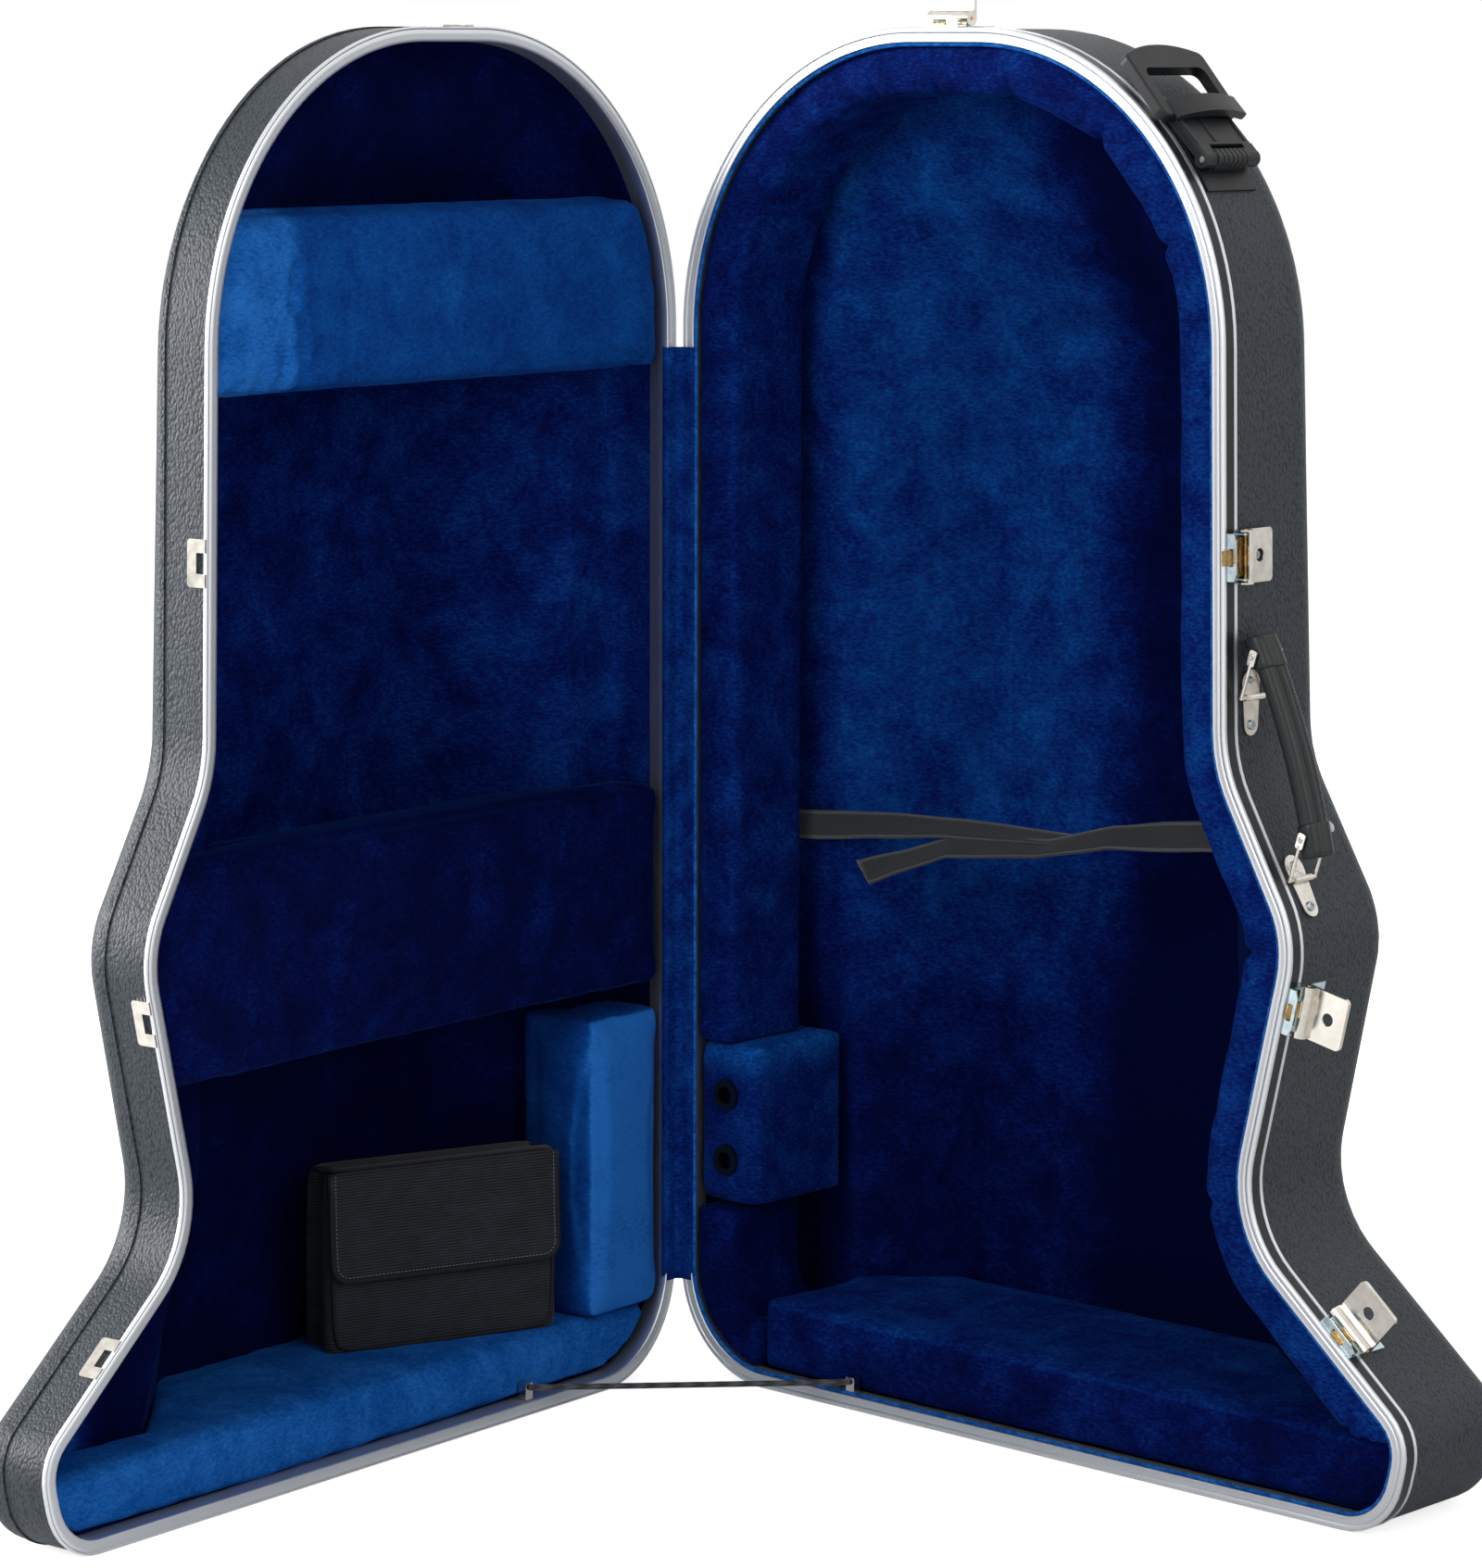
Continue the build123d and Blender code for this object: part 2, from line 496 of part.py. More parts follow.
GRIP_LENGTH = (eye_low - eye_top).length
grip = grip_bar(-GRIP_OVERHANG, GRIP_LENGTH + GRIP_OVERHANG, GRIP_THIN, GRIP_HALF, GRIP_BOW)
sleeve_top = grip_bar(-GRIP_OVERHANG - 2, COLLAR_LENGTH - GRIP_OVERHANG, GRIP_THIN + 1.8, GRIP_HALF + COLLAR_SHEET, 0.4)
sleeve_low = grip_bar(GRIP_LENGTH + GRIP_OVERHANG - COLLAR_LENGTH, GRIP_LENGTH + GRIP_OVERHANG + 2,
                      GRIP_THIN + 1.8, GRIP_HALF + COLLAR_SHEET, 0.4)
rivets = []
for eye in (eye_top, eye_low):
    for side in (-1, 1):
        start = HANDLE_MIDDLE + side * (GRIP_HALF - 3.0)
        end = HANDLE_MIDDLE + side * (LINK_HALF + 1.4)
        rivets.append(into_depth(eye.X, eye.Z, 1.3, min(start, end), max(start, end)))
rivet_space = rivets[0] + rivets[1] + rivets[2] + rivets[3]
add("handle_grip", grip - rivet_space)
add("handle_collars", Compound(children=[sleeve_top - grip - rivet_space, sleeve_low - grip - rivet_space]))
add("handle_rivets", Compound(children=rivets))
print("handle eyes", eye_top, eye_low)

# Pull handle on the arch's shoulder: a moulded loop that flips up about a pin
SIDE_LEAN = math.atan2(OUTLINE[3][0] - BODY_WIDTH, CASE_HEIGHT - OUTLINE[3][1])
ARCH_Z = CASE_HEIGHT - ARCH_RADIUS
ARCH_X = BODY_WIDTH + ARCH_RADIUS * (math.tan(SIDE_LEAN) - 1 / math.cos(SIDE_LEAN))
PIN_ANGLE, PIN_HEIGHT = 35.2, 9.0
LOOP_NEAR, LOOP_FAR = 19.0, 85.0
TOW_PIN_RADIUS = 2.5


def on_arch(angle, height):
    """A point (x, z) at an angle round the arch, and a height over the wall."""
    reach = ARCH_RADIUS + height
    return ARCH_X + reach * math.cos(math.radians(angle)), ARCH_Z + reach * math.sin(math.radians(angle))


def arch_slab(corners, near, far, radius):
    """Corners (angle, height) over the arch, rounded and made solid across the depth."""
    path = FilletPolyline(*[on_arch(a, h) for a, h in corners], radius=radius, close=True)
    return Pos(0, near, 0) * extrude(Plane.XZ * make_face(path), amount=-(far - near))


tow_pin = on_arch(PIN_ANGLE, PIN_HEIGHT)


def tow_bracket():
    """Plate on the wall with a barrel in the middle, between the loop's two cheeks."""
    foot = -LEATHER_STEP + 0.05
    path = [ThreePointArc(on_arch(30, foot), on_arch(38, foot), on_arch(47, foot))]
    path.append(Line(path[0] @ 1, on_arch(47, 0.9)))
    path.append(ThreePointArc(path[1] @ 1, on_arch(38, 0.9), on_arch(30, 0.9)))
    path.append(Line(path[2] @ 1, path[0] @ 0))
    plate = Pos(0, LOOP_NEAR + 2, 0) * extrude(Plane.XZ * make_face(Curve() + path), amount=-(LOOP_FAR - LOOP_NEAR - 4))
    barrel = into_depth(tow_pin[0], tow_pin[1], 6.0, LOOP_NEAR + 12.4, LOOP_FAR - 12.4)
    web = arch_slab([(PIN_ANGLE - 1.3, 0.2), (PIN_ANGLE + 1.3, 0.2), (PIN_ANGLE + 1.2, 8), (PIN_ANGLE - 1.2, 8)],
                    LOOP_NEAR + 12.4, LOOP_FAR - 12.4, 0.3)
    return plate + barrel + web - into_depth(tow_pin[0], tow_pin[1], TOW_PIN_RADIUS, 0, 120)


LOOP_SIDE_NEAR, LOOP_SIDE_FAR = 4.0, 100.0
LOOP_THICK, LOOP_TILT = 9.0, 3.8
ALONG = (-math.sqrt(0.5), 0, math.sqrt(0.5))
OUTWARDS = (math.sqrt(0.5), 0, math.sqrt(0.5))


def handle_box(low, high):
    """A box between two corners given as (along the handle from its pin, depth, outwards)."""
    return local_box((low[0], -high[1], low[2]), (high[0], -low[1], high[2]))


def tow_handle():
    """Panel from the pin, then a wider loop with a bowed end and a raised bar across its foot."""
    origin = (tow_pin[0], 0, tow_pin[1])
    place = Plane(origin=origin, x_dir=ALONG, z_dir=OUTWARDS)
    across_it = Plane(origin=origin, x_dir=(0, -1, 0), z_dir=ALONG)
    panel = handle_box((9.5, LOOP_NEAR, -3.4), (46.0, LOOP_FAR, 5.0))
    for near, far in ((LOOP_NEAR, LOOP_NEAR + 12.0), (LOOP_FAR - 12.0, LOOP_FAR)):
        panel = panel + handle_box((0.0, near, -3.4), (10.0, far, 6.4))
        panel = panel + Pos(0, -(near + far) / 2, 0) * Rot(90, 0, 0) * Cylinder(6.7, far - near)
    middle = (LOOP_SIDE_NEAR + LOOP_SIDE_FAR) / 2
    end = ThreePointArc((62.0, -LOOP_SIDE_NEAR), (72.0, -middle), (62.0, -LOOP_SIDE_FAR))
    edges = [end, Line(end @ 1, (0.0, -LOOP_SIDE_FAR)), Line((0.0, -LOOP_SIDE_FAR), (0.0, -LOOP_SIDE_NEAR)),
             Line((0.0, -LOOP_SIDE_NEAR), end @ 0)]
    loop = extrude(make_face(Curve() + edges), amount=LOOP_THICK)
    loop = fillet(loop.edges().filter_by(Axis.Z), 8.0)
    loop = fillet(loop.faces().sort_by(Axis.Z)[-1].edges(), 2.0)
    loop = Pos(41.0, 0, -1.4) * Rot(0, -LOOP_TILT, 0) * loop
    lower = ThreePointArc((-16.0, 4.0), (-58.0, 9.0), (-LOOP_SIDE_FAR, 4.0))
    upper = ThreePointArc((-LOOP_SIDE_FAR, 11.0), (-58.0, 16.0), (-16.0, 9.0))
    bar_face = make_face(Curve() + [lower, Line(lower @ 1, upper @ 0), upper, Line(upper @ 1, lower @ 0)])
    bar = extrude(bar_face, amount=18.0)
    bar = across_it * Pos(0, 0, 37.0) * fillet(bar.edges().filter_by(Axis.Z), 2.0)
    opening = Pos(72.0, -middle, 6.0) * fillet(Box(32.0, LOOP_SIDE_FAR - LOOP_SIDE_NEAR - 22, 40).edges().filter_by(Axis.Z), 7.0)
    handle = place * ((panel + loop) - opening) + bar
    return handle - into_depth(tow_pin[0], tow_pin[1], TOW_PIN_RADIUS + 0.07, 0, 120)


add("tow_bracket", tow_bracket())
add("tow_handle", tow_handle())
add("tow_pin", into_depth(tow_pin[0], tow_pin[1], TOW_PIN_RADIUS, LOOP_NEAR + 0.6, LOOP_FAR - 0.6))
print("tow pin", tow_pin)

# Rivet outside that holds the tie strap's end
rivet_place = wall_plane(BASE, 3, (585.0 - 530.0) / 130.0)
add("strap_rivet", rivet_place * (Pos(98.0, 0, 0.85 - LEATHER_STEP) * Cylinder(4.6, 1.6)))

# Accessory pouch that stands on the lid's floor pad, and its front flap
POUCH_WIDTH, POUCH_THICK, POUCH_HEIGHT = 214.0, 50.0, 156.0
POUCH_TURN = 23.0
POUCH_CORNER = (138.0, 20.0)
POUCH_FLOOR = 60.6
FLAP_DROP, FLAP_THICK = 92.0, 3.0

pouch_place = Pos(POUCH_CORNER[0], -POUCH_CORNER[1], POUCH_FLOOR) * Rot(0, 0, -POUCH_TURN)
pouch_body = Pos(POUCH_WIDTH / 2, -POUCH_THICK / 2, POUCH_HEIGHT / 2) * Box(POUCH_WIDTH, POUCH_THICK, POUCH_HEIGHT)
pouch_body = fillet(pouch_body.edges().filter_by(Axis.Z), 9.0)
pouch_body = fillet(pouch_body.faces().sort_by(Axis.Z)[-1].edges(), 8.0)
flap_face = Pos(POUCH_WIDTH / 2, 0, POUCH_HEIGHT - FLAP_DROP / 2 - 2) * Box(POUCH_WIDTH - 2, FLAP_THICK, FLAP_DROP)
flap = Pos(0, FLAP_THICK / 2 + 0.4, 0) * fillet(flap_face.edges().filter_by(Axis.Y).sort_by(Axis.Z)[:2], 16.0)
add("pouch_body", pouch_place * pouch_body, swung=True)
add("pouch_flap", pouch_place * flap, swung=True)
flap_hinge = CLOSED_TO_OPEN * pouch_place * Pos(0, FLAP_THICK / 2 + 0.4, POUCH_HEIGHT - 2)
print("flap hinge", flap_hinge.position, flap_hinge.orientation)

os.makedirs("parts", exist_ok=True)
for name, shape in parts.items():
    export_step(shape, f"parts/{name}.step")
print(len(parts), "nodes")
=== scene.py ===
"""A hard case for a tuba, standing open on its foot: a deep base and a shallower lid."""

import math

import bmesh
import bpy
from mathutils import Matrix, Vector, noise


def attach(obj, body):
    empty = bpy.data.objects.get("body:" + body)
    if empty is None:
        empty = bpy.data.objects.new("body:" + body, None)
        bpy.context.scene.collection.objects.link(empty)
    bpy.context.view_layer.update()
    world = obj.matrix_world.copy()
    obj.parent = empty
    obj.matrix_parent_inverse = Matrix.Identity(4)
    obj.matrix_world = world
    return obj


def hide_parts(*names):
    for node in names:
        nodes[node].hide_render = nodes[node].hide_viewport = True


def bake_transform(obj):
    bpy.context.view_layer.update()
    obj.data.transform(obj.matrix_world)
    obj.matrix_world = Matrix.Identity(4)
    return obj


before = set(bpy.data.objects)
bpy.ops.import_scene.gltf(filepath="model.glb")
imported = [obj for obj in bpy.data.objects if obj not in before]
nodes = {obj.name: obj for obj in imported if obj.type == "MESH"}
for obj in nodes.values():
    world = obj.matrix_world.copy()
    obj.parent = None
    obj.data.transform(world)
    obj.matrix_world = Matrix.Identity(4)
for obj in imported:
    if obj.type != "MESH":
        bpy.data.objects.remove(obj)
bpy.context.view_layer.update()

# Camera. A long lens at about the height of the case's top, looking down slightly into the
# corner between the two halves. Its axis stands a little off the middle of the picture.
IMAGE_HEIGHT, SENSOR_HEIGHT = 1693, 36.0
CAMERA_PLACE = Vector((2.9485, -3.1185, 1.1374))
CAMERA_FORWARD = Vector((-0.68099, 0.71686, -0.14953))
CAMERA_RIGHT = Vector((0.72489, 0.68887, 0.00121))
FOCAL_SHARE = 5489 / IMAGE_HEIGHT
AXIS_ASIDE, AXIS_BELOW = 80 / IMAGE_HEIGHT, 29.9 / IMAGE_HEIGHT


def new_object(name, data):
    """An object in the scene."""
    made = bpy.data.objects.new(name, data)
    bpy.context.scene.collection.objects.link(made)
    return made


lens = bpy.data.cameras.new("camera")
lens.sensor_fit = "VERTICAL"
lens.sensor_height = SENSOR_HEIGHT
lens.lens = SENSOR_HEIGHT * FOCAL_SHARE
lens.shift_x, lens.shift_y = AXIS_ASIDE, AXIS_BELOW
lens.clip_end = 60.0
camera = new_object("camera", lens)
forward = CAMERA_FORWARD.normalized()
right = (CAMERA_RIGHT - CAMERA_RIGHT.dot(forward) * forward).normalized()
up = right.cross(forward)
turn = Matrix((right, up, -forward)).transposed().to_quaternion()
camera.matrix_world = Matrix.LocRotScale(CAMERA_PLACE, turn, None)
bpy.context.scene.camera = camera
bpy.context.scene.view_settings.view_transform = "Standard"


# Room: a white floor that keeps the soft shadow, and a white sky. The camera sees both as
# plain white, and metal sees the sky so; the light on the case comes from large soft boxes.
def linear(code):
    """The linear colour of an sRGB hex value."""
    parts = [int(code[i:i + 2], 16) / 255 for i in (1, 3, 5)]
    return [p / 12.92 if p <= 0.04045 else ((p + 0.055) / 1.055) ** 2.4 for p in parts] + [1.0]


def add_node(tree, kind, inputs=None, **settings):
    """Adds a shader node. An input, by name or number, is a value or another node's output."""
    made = tree.nodes.new("ShaderNode" + kind)
    for name, value in settings.items():
        setattr(made, name, value)
    for name, value in (inputs or {}).items():
        if isinstance(value, bpy.types.NodeSocket):
            tree.links.new(value, made.inputs[name])
        else:
            made.inputs[name].default_value = value
    return made


def start_material(name):
    """An empty node material, its tree and its output."""
    material = bpy.data.materials.new(name)
    material.use_nodes = True
    material.node_tree.nodes.clear()
    return material, material.node_tree, add_node(material.node_tree, "OutputMaterial")


SKY_LIGHT, FLOOR_GLOW, FLOOR_HALF, FLOOR_DROP = 0.5, 0.75, 9.0, 0.0005
world = bpy.data.worlds.new("sky")
world.use_nodes = True
bpy.context.scene.world = world
sky = world.node_tree
sky.nodes.clear()
sky_out = sky.nodes.new("ShaderNodeOutputWorld")
path = add_node(sky, "LightPath")
seen = path.outputs["Is Camera Ray"]
for ray in ("Is Glossy Ray", "Is Transmission Ray"):
    seen = add_node(sky, "Math", {0: seen, 1: path.outputs[ray]}, operation="MAXIMUM").outputs[0]
level = add_node(sky, "MapRange", {"Value": seen, "To Min": SKY_LIGHT, "To Max": 1.0})
background = add_node(sky, "Background", {"Color": linear("#ffffff"), "Strength": level.outputs[0]})
sky.links.new(background.outputs[0], sky_out.inputs[0])

floor_mesh = bpy.data.meshes.new("floor")
form = bmesh.new()
bmesh.ops.create_grid(form, x_segments=1, y_segments=1, size=FLOOR_HALF)
bmesh.ops.translate(form, verts=form.verts, vec=(0, 0, -FLOOR_DROP))
form.to_mesh(floor_mesh)
form.free()
floor = new_object("floor", floor_mesh)
paper, tree, out = start_material("white_paper_sweep")
path = add_node(tree, "LightPath")
paint = add_node(tree, "BsdfDiffuse", {"Color": linear("#f4f4f4")})
glow = add_node(tree, "Emission", {"Color": linear("#ffffff"), "Strength": FLOOR_GLOW})
both = add_node(tree, "AddShader", {0: paint.outputs[0], 1: glow.outputs[0]})
shown = add_node(tree, "MixShader", {0: path.outputs["Is Camera Ray"], 1: paint.outputs[0],
                                     2: both.outputs[0]})
tree.links.new(shown.outputs[0], out.inputs["Surface"])
floor_mesh.materials.append(paper)


def soft_box(name, place, towards, size, power):
    """A large square lamp that looks from one place towards another."""
    lamp = bpy.data.lights.new(name, "AREA")
    lamp.shape = "SQUARE"
    lamp.size = size
    lamp.energy = power
    holder = new_object(name, lamp)
    aim = (Vector(towards) - Vector(place)).to_track_quat("-Z", "Y")
    holder.matrix_world = Matrix.LocRotScale(Vector(place), aim, None)


soft_box("front_left_box", (0.6, -4.2, 2.6), (0.1, 0.0, 0.5), 2.2, 60)
soft_box("front_right_box", (4.2, -0.6, 2.4), (0.1, 0.0, 0.5), 2.2, 30)
soft_box("left_side_box", (-3.4, -2.6, 1.6), (0.0, -0.4, 0.6), 2.0, 250)


# Shells: 5 mm plywood and foam shells covered in black vinyl. A pebbled leather grain with
# cells about 2 by 3 mm is pressed into it, satin on the tops, with painted shade in the hollows.
GRAIN_CELL, CELL_SQUEEZE = 0.0019, 0.62


def start_surface(name):
    """A material, its tree, the place on the piece in metres, and the output."""
    material, tree, out = start_material(name)
    return material, tree, add_node(tree, "TexCoord").outputs["Object"], out


def speckle(tree, place, scale, detail=2.0, **more):
    """Noise with about so many specks to the metre."""
    inputs = {"Vector": place, "Scale": scale, "Detail": detail, **more}
    return add_node(tree, "TexNoise", inputs).outputs["Fac"]


def between(tree, share, low, high):
    """A share from 0 to 1, spread from low to high."""
    return add_node(tree, "MapRange", {"Value": share, "To Min": low, "To Max": high}).outputs[0]


def two_tone(tree, share, first, second, start=0.0, end=1.0):
    """A colour that goes from one hex value to another as the share goes from start to end."""
    ramp = add_node(tree, "ValToRGB", {"Fac": share})
    for step, position, code in zip(ramp.color_ramp.elements, (start, end), (first, second)):
        step.position = position
        step.color = linear(code)
    return ramp.outputs[0]


def relief(tree, height, strength, distance, **settings):
    """The shading normal of a height, which stands out by a distance in metres."""
    inputs = {"Height": height, "Strength": strength, "Distance": distance}
    return add_node(tree, "Bump", inputs, **settings).outputs[0]


def coat(tree, out, inputs):
    """Gives a material its one surface shader."""
    tree.links.new(add_node(tree, "BsdfPrincipled", inputs).outputs[0], out.inputs["Surface"])


vinyl, tree, place, out = start_surface("grained_black_vinyl")
wobble = add_node(tree, "TexNoise", {"Vector": place, "Scale": 0.5 / GRAIN_CELL, "Detail": 2.0})
bent = add_node(tree, "VectorMath", {0: wobble.outputs["Color"], 1: (GRAIN_CELL * 0.8,) * 3},
                operation="MULTIPLY")
moved = add_node(tree, "VectorMath", {0: place, 1: bent.outputs[0]}, operation="ADD")
slanted = add_node(tree, "Mapping", {"Vector": moved.outputs[0], "Rotation": (0.5, 0.3, 0.0),
                                     "Scale": (1.0, 1.0, CELL_SQUEEZE)})
cells = add_node(tree, "TexVoronoi", {"Vector": slanted.outputs[0], "Scale": 1 / GRAIN_CELL},
                 feature="SMOOTH_F1")
hollow = add_node(tree, "MapRange", {"Value": cells.outputs["Distance"], "From Min": 0.25,
                                     "From Max": 0.75}).outputs[0]
worn = speckle(tree, place, 9.0, 4.0)
# Painted shade: the grain's hollows are coloured darker than its tops.
coat(tree, out, {"Base Color": two_tone(tree, hollow, "#353c43", "#191d21"),
                 "Roughness": between(tree, worn, 0.4, 0.52), "Specular IOR Level": 0.25,
                 "Normal": relief(tree, hollow, 0.6, 0.0007, invert=True)})


def dress(names, material):
    """Gives CAD nodes their material."""
    for name in names:
        mesh = nodes[name].data
        mesh.materials.clear()
        mesh.materials.append(material)


dress(["base_shell", "lid_shell"], vinyl)


# Rims: aluminium extrusions bent round each half and mitred at the foot. The base's has two
# beads with a groove between them, the lid's one plain face. A lip holds each to its shell.
MM = 0.001
OPENING_ANGLE = 85
CORNERS = [(2.6, 0, 95), (2.6, 1150, 250), (566, 1150, 250), (580, 585, 110),
           (652, 455, 90), (602, 228, 90), (768, 83, 45), (750, 0, 55)]
SWING = Matrix.Rotation(math.radians(-OPENING_ANGLE), 4, "Z")
BASE, LID = 1, -1


def walk_outline(step):
    """Places (x, z) along the rounded outline, each with its direction into the case. Its
    corners are given as x, z and rounding, clockwise from the foot beside the hinge."""
    places = []
    count = len(CORNERS)
    turns = []
    for i, (x, z, radius) in enumerate(CORNERS):
        before = Vector((x, z)) - Vector(CORNERS[i - 1][:2])
        after = Vector(CORNERS[(i + 1) % count][:2]) - Vector((x, z))
        angle = before.angle_signed(after)
        reach = radius * math.tan(abs(angle) / 2)
        turns.append((Vector((x, z)), before.normalized(), after.normalized(), angle, reach, radius))
    for i, (corner, before, after, angle, reach, radius) in enumerate(turns):
        start = corner - before * reach
        bulge = 1 if angle > 0 else -1
        inwards = Vector((before.y, -before.x))
        middle = start + inwards * radius * bulge
        pieces = max(3, round(radius * abs(angle) / step))
        for k in range(pieces):
            turned = inwards.copy()
            turned.rotate(Matrix.Rotation(-angle * k / pieces, 2))
            places.append((middle - turned * radius * bulge, turned))
        end = corner + after * reach
        follower = turns[(i + 1) % count]
        run = follower[0] - follower[1] * follower[4] - end
        inwards = Vector((after.y, -after.x))
        pieces = max(1, round(run.length / step))
        places += [(end + run * k / pieces, inwards.copy()) for k in range(pieces)]
    return places


def sweep(form, loops, closed):
    """Skins a run of loops, each a list of points, by extruding the first through the rest."""
    first = [form.verts.new(p) for p in loops[0]]
    ring = first
    edges = [form.edges.new((ring[i - 1], ring[i])) for i in range(len(ring))]
    for loop in loops[1:]:
        made = bmesh.ops.extrude_edge_only(form, edges=edges)["geom"]
        fresh = {v for v in made if isinstance(v, bmesh.types.BMVert)}
        ring = [next(e.other_vert(v) for e in v.link_edges if e.other_vert(v) in fresh) for v in ring]
        for vertex, point in zip(ring, loop):
            vertex.co = point
        edges = [form.edges.get((ring[i - 1], ring[i])) for i in range(len(ring))]
    if closed:
        first_edges = [form.edges.get((first[i - 1], first[i])) for i in range(len(first))]
        bmesh.ops.bridge_loops(form, edges=edges + first_edges)
    else:
        bmesh.ops.contextual_create(form, geom=first)
        bmesh.ops.contextual_create(form, geom=ring)
    bmesh.ops.recalc_face_normals(form, faces=form.faces)


def finish_piece(form, name, material, body=None, slot=None, stands_for=(), levels=0, flat=False):
    """Makes the object, with its material, ready to ride. It gets the body, if one is given."""
    mesh = bpy.data.meshes.new(name)
    form.to_mesh(mesh)
    form.free()
    mesh.polygons.foreach_set("use_smooth", [not flat] * len(mesh.polygons))
    mesh.materials.append(material)
    made = new_object(name, mesh)
    if levels:
        smooth = made.modifiers.new("smooth", "SUBSURF")
        smooth.levels = smooth.render_levels = levels
    if stands_for:
        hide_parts(*stands_for)
    if body:
        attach(made, body)
    return made


def follow_outline(form, side, profile, step):
    """Sweeps a profile of (inset, depth) all round the base's or the lid's outline."""
    loops = []
    for place, inwards in walk_outline(step):
        loop = [(*(place + inwards * inset), depth) for inset, depth in profile]
        loops.append([Vector((x, side * depth, z)) * MM for x, z, depth in loop])
    sweep(form, loops, closed=True)
    if side == LID:
        bmesh.ops.transform(form, matrix=SWING, verts=form.verts)


aluminium, tree, place, out = start_surface("polished_aluminium_extrusion")
streaks = speckle(tree, place, 260.0, 3.0)
coat(tree, out, {"Base Color": linear("#d9dcdf"), "Metallic": 1.0,
                 "Roughness": between(tree, streaks, 0.38, 0.46),
                 "Normal": relief(tree, streaks, 0.02, 0.0002)})
dress(["base_trim"], aluminium)

OUTLINE_STEP = 9.0
LIP = [(12.0, 1.9), (12.0, 20.0), (8.8, 20.0), (8.8, 8.0), (6.2, 8.0), (6.2, 4.0), (0.0, 4.0)]
BEADS = [(0.0, 1.9), (0.35, 1.3), (1.2, 0.92), (2.4, 0.8), (3.7, 0.9), (4.5, 1.1), (4.8, 1.5),
         (5.2, 1.5), (5.5, 1.05), (6.4, 0.92), (7.9, 1.05), (9.4, 1.1), (10.8, 0.98), (11.4, 0.85),
         (11.8, 1.1)]
PLAIN_FACE = [(0.0, 1.6), (0.4, 1.0), (1.0, 0.8), (1.9, 0.8), (2.1, 1.1), (2.5, 1.1), (2.7, 0.8),
              (6.0, 0.86), (9.4, 0.8), (11.2, 0.82), (11.8, 1.1)]
for name, side, face, body, node in (("base_rim_extrusion", BASE, BEADS, "base", "base_rim"),
                                     ("lid_rim_extrusion", LID, PLAIN_FACE, "lid", "lid_rim")):
    form = bmesh.new()
    follow_outline(form, side, face + LIP, OUTLINE_STEP)
    finish_piece(form, name, aluminium, body, "rim_aluminium", [node])

# Black band between the base's rim and its bright trim: a smooth PVC moulding, semi-gloss,
# pressed over the shell's edge.
moulding, tree, place, out = start_surface("black_pvc_moulding")
waves = speckle(tree, place, 40.0)
coat(tree, out, {"Base Color": linear("#1a1d21"), "Roughness": between(tree, waves, 0.24, 0.36),
                 "Specular IOR Level": 0.3})
dress(["base_band"], moulding)


# Velvet: royal blue cotton pile. Its colours run from nearly black-blue, painted shade, to a clear
# blue, painted light. Each face gets its own level of them for how brightly it is lit, with more
# painted shade or light beyond set places and on faces turned a set way. Over it lie soft patches
# about 50 mm across and short flecks. The pile brightens a little seen edge on.
FLECK, PATCH = 0.002, 0.05
# Painted light on turned faces: a facing change comes in as the normal along its axis goes from 0.3 to 0.8.
TURNED_FROM, TURNED_TO = 0.3, 0.8
VELVET_SHADED_TO_LIT = ["#01062f", "#020c43", "#051c60", "#09357c", "#0e4e9a", "#266dc1"]


def velvet(name, level, lighting_drifts=(), lighting_facing=None, patch=PATCH, contrast=1.8):
    """A velvet at a level from 0 to 1 of the colours; the level is painted light and shade. Each drift
    (axis, start, end, change) paints it lighter or darker beyond a place, and a facing (axis, change) does
    so on faces turned that way."""
    material, tree, out = start_material(name)
    coordinates = add_node(tree, "TexCoord")
    place = coordinates.outputs["Object"]
    patches = speckle(tree, place, 1 / patch, 6.0, Roughness=0.68, Distortion=0.3)
    across = add_node(tree, "Mapping", {"Vector": place, "Scale": (0.4, 0.4, 1.0)})
    flecks = speckle(tree, across.outputs[0], 1 / FLECK, 3.0, Roughness=0.75)
    mixed = add_node(tree, "Mix", {"Factor": 0.5, 2: patches, 3: flecks}, data_type="FLOAT")
    painted_lighting = add_node(tree, "Math", {0: mixed.outputs[0], 1: contrast, 2: level - contrast / 2},
                    operation="MULTIPLY_ADD").outputs[0]
    spot = add_node(tree, "SeparateXYZ", {"Vector": place})
    changes = [(spot.outputs[axis], start, end, change) for axis, start, end, change in lighting_drifts]
    if lighting_facing:
        turned = add_node(tree, "SeparateXYZ", {"Vector": coordinates.outputs["Normal"]})
        changes.append((turned.outputs[lighting_facing[0]], TURNED_FROM, TURNED_TO, lighting_facing[1]))
    for value, start, end, change in changes:
        drift = add_node(tree, "MapRange", {"Value": value, "From Min": start, "From Max": end,
                                            "To Max": change}, interpolation_type="SMOOTHSTEP")
        painted_lighting = add_node(tree, "Math", {0: painted_lighting, 1: drift.outputs[0]}, operation="ADD").outputs[0]
    shades = add_node(tree, "ValToRGB", {"Fac": painted_lighting})
    steps = shades.color_ramp.elements
    while len(steps) < len(VELVET_SHADED_TO_LIT):
        steps.new(0.5)
    for k, colour in enumerate(VELVET_SHADED_TO_LIT):
        steps[k].position = k / (len(VELVET_SHADED_TO_LIT) - 1)
        steps[k].color = linear(colour)
    coat(tree, out, {"Base Color": shades.outputs[0], "Roughness": 0.92, "Sheen Weight": 0.18,
                     "Sheen Roughness": 0.3, "Sheen Tint": linear("#2a6fe0"),
                     "Specular IOR Level": 0.04, "Normal": relief(tree, flecks, 0.4, 0.0005)})
    return material


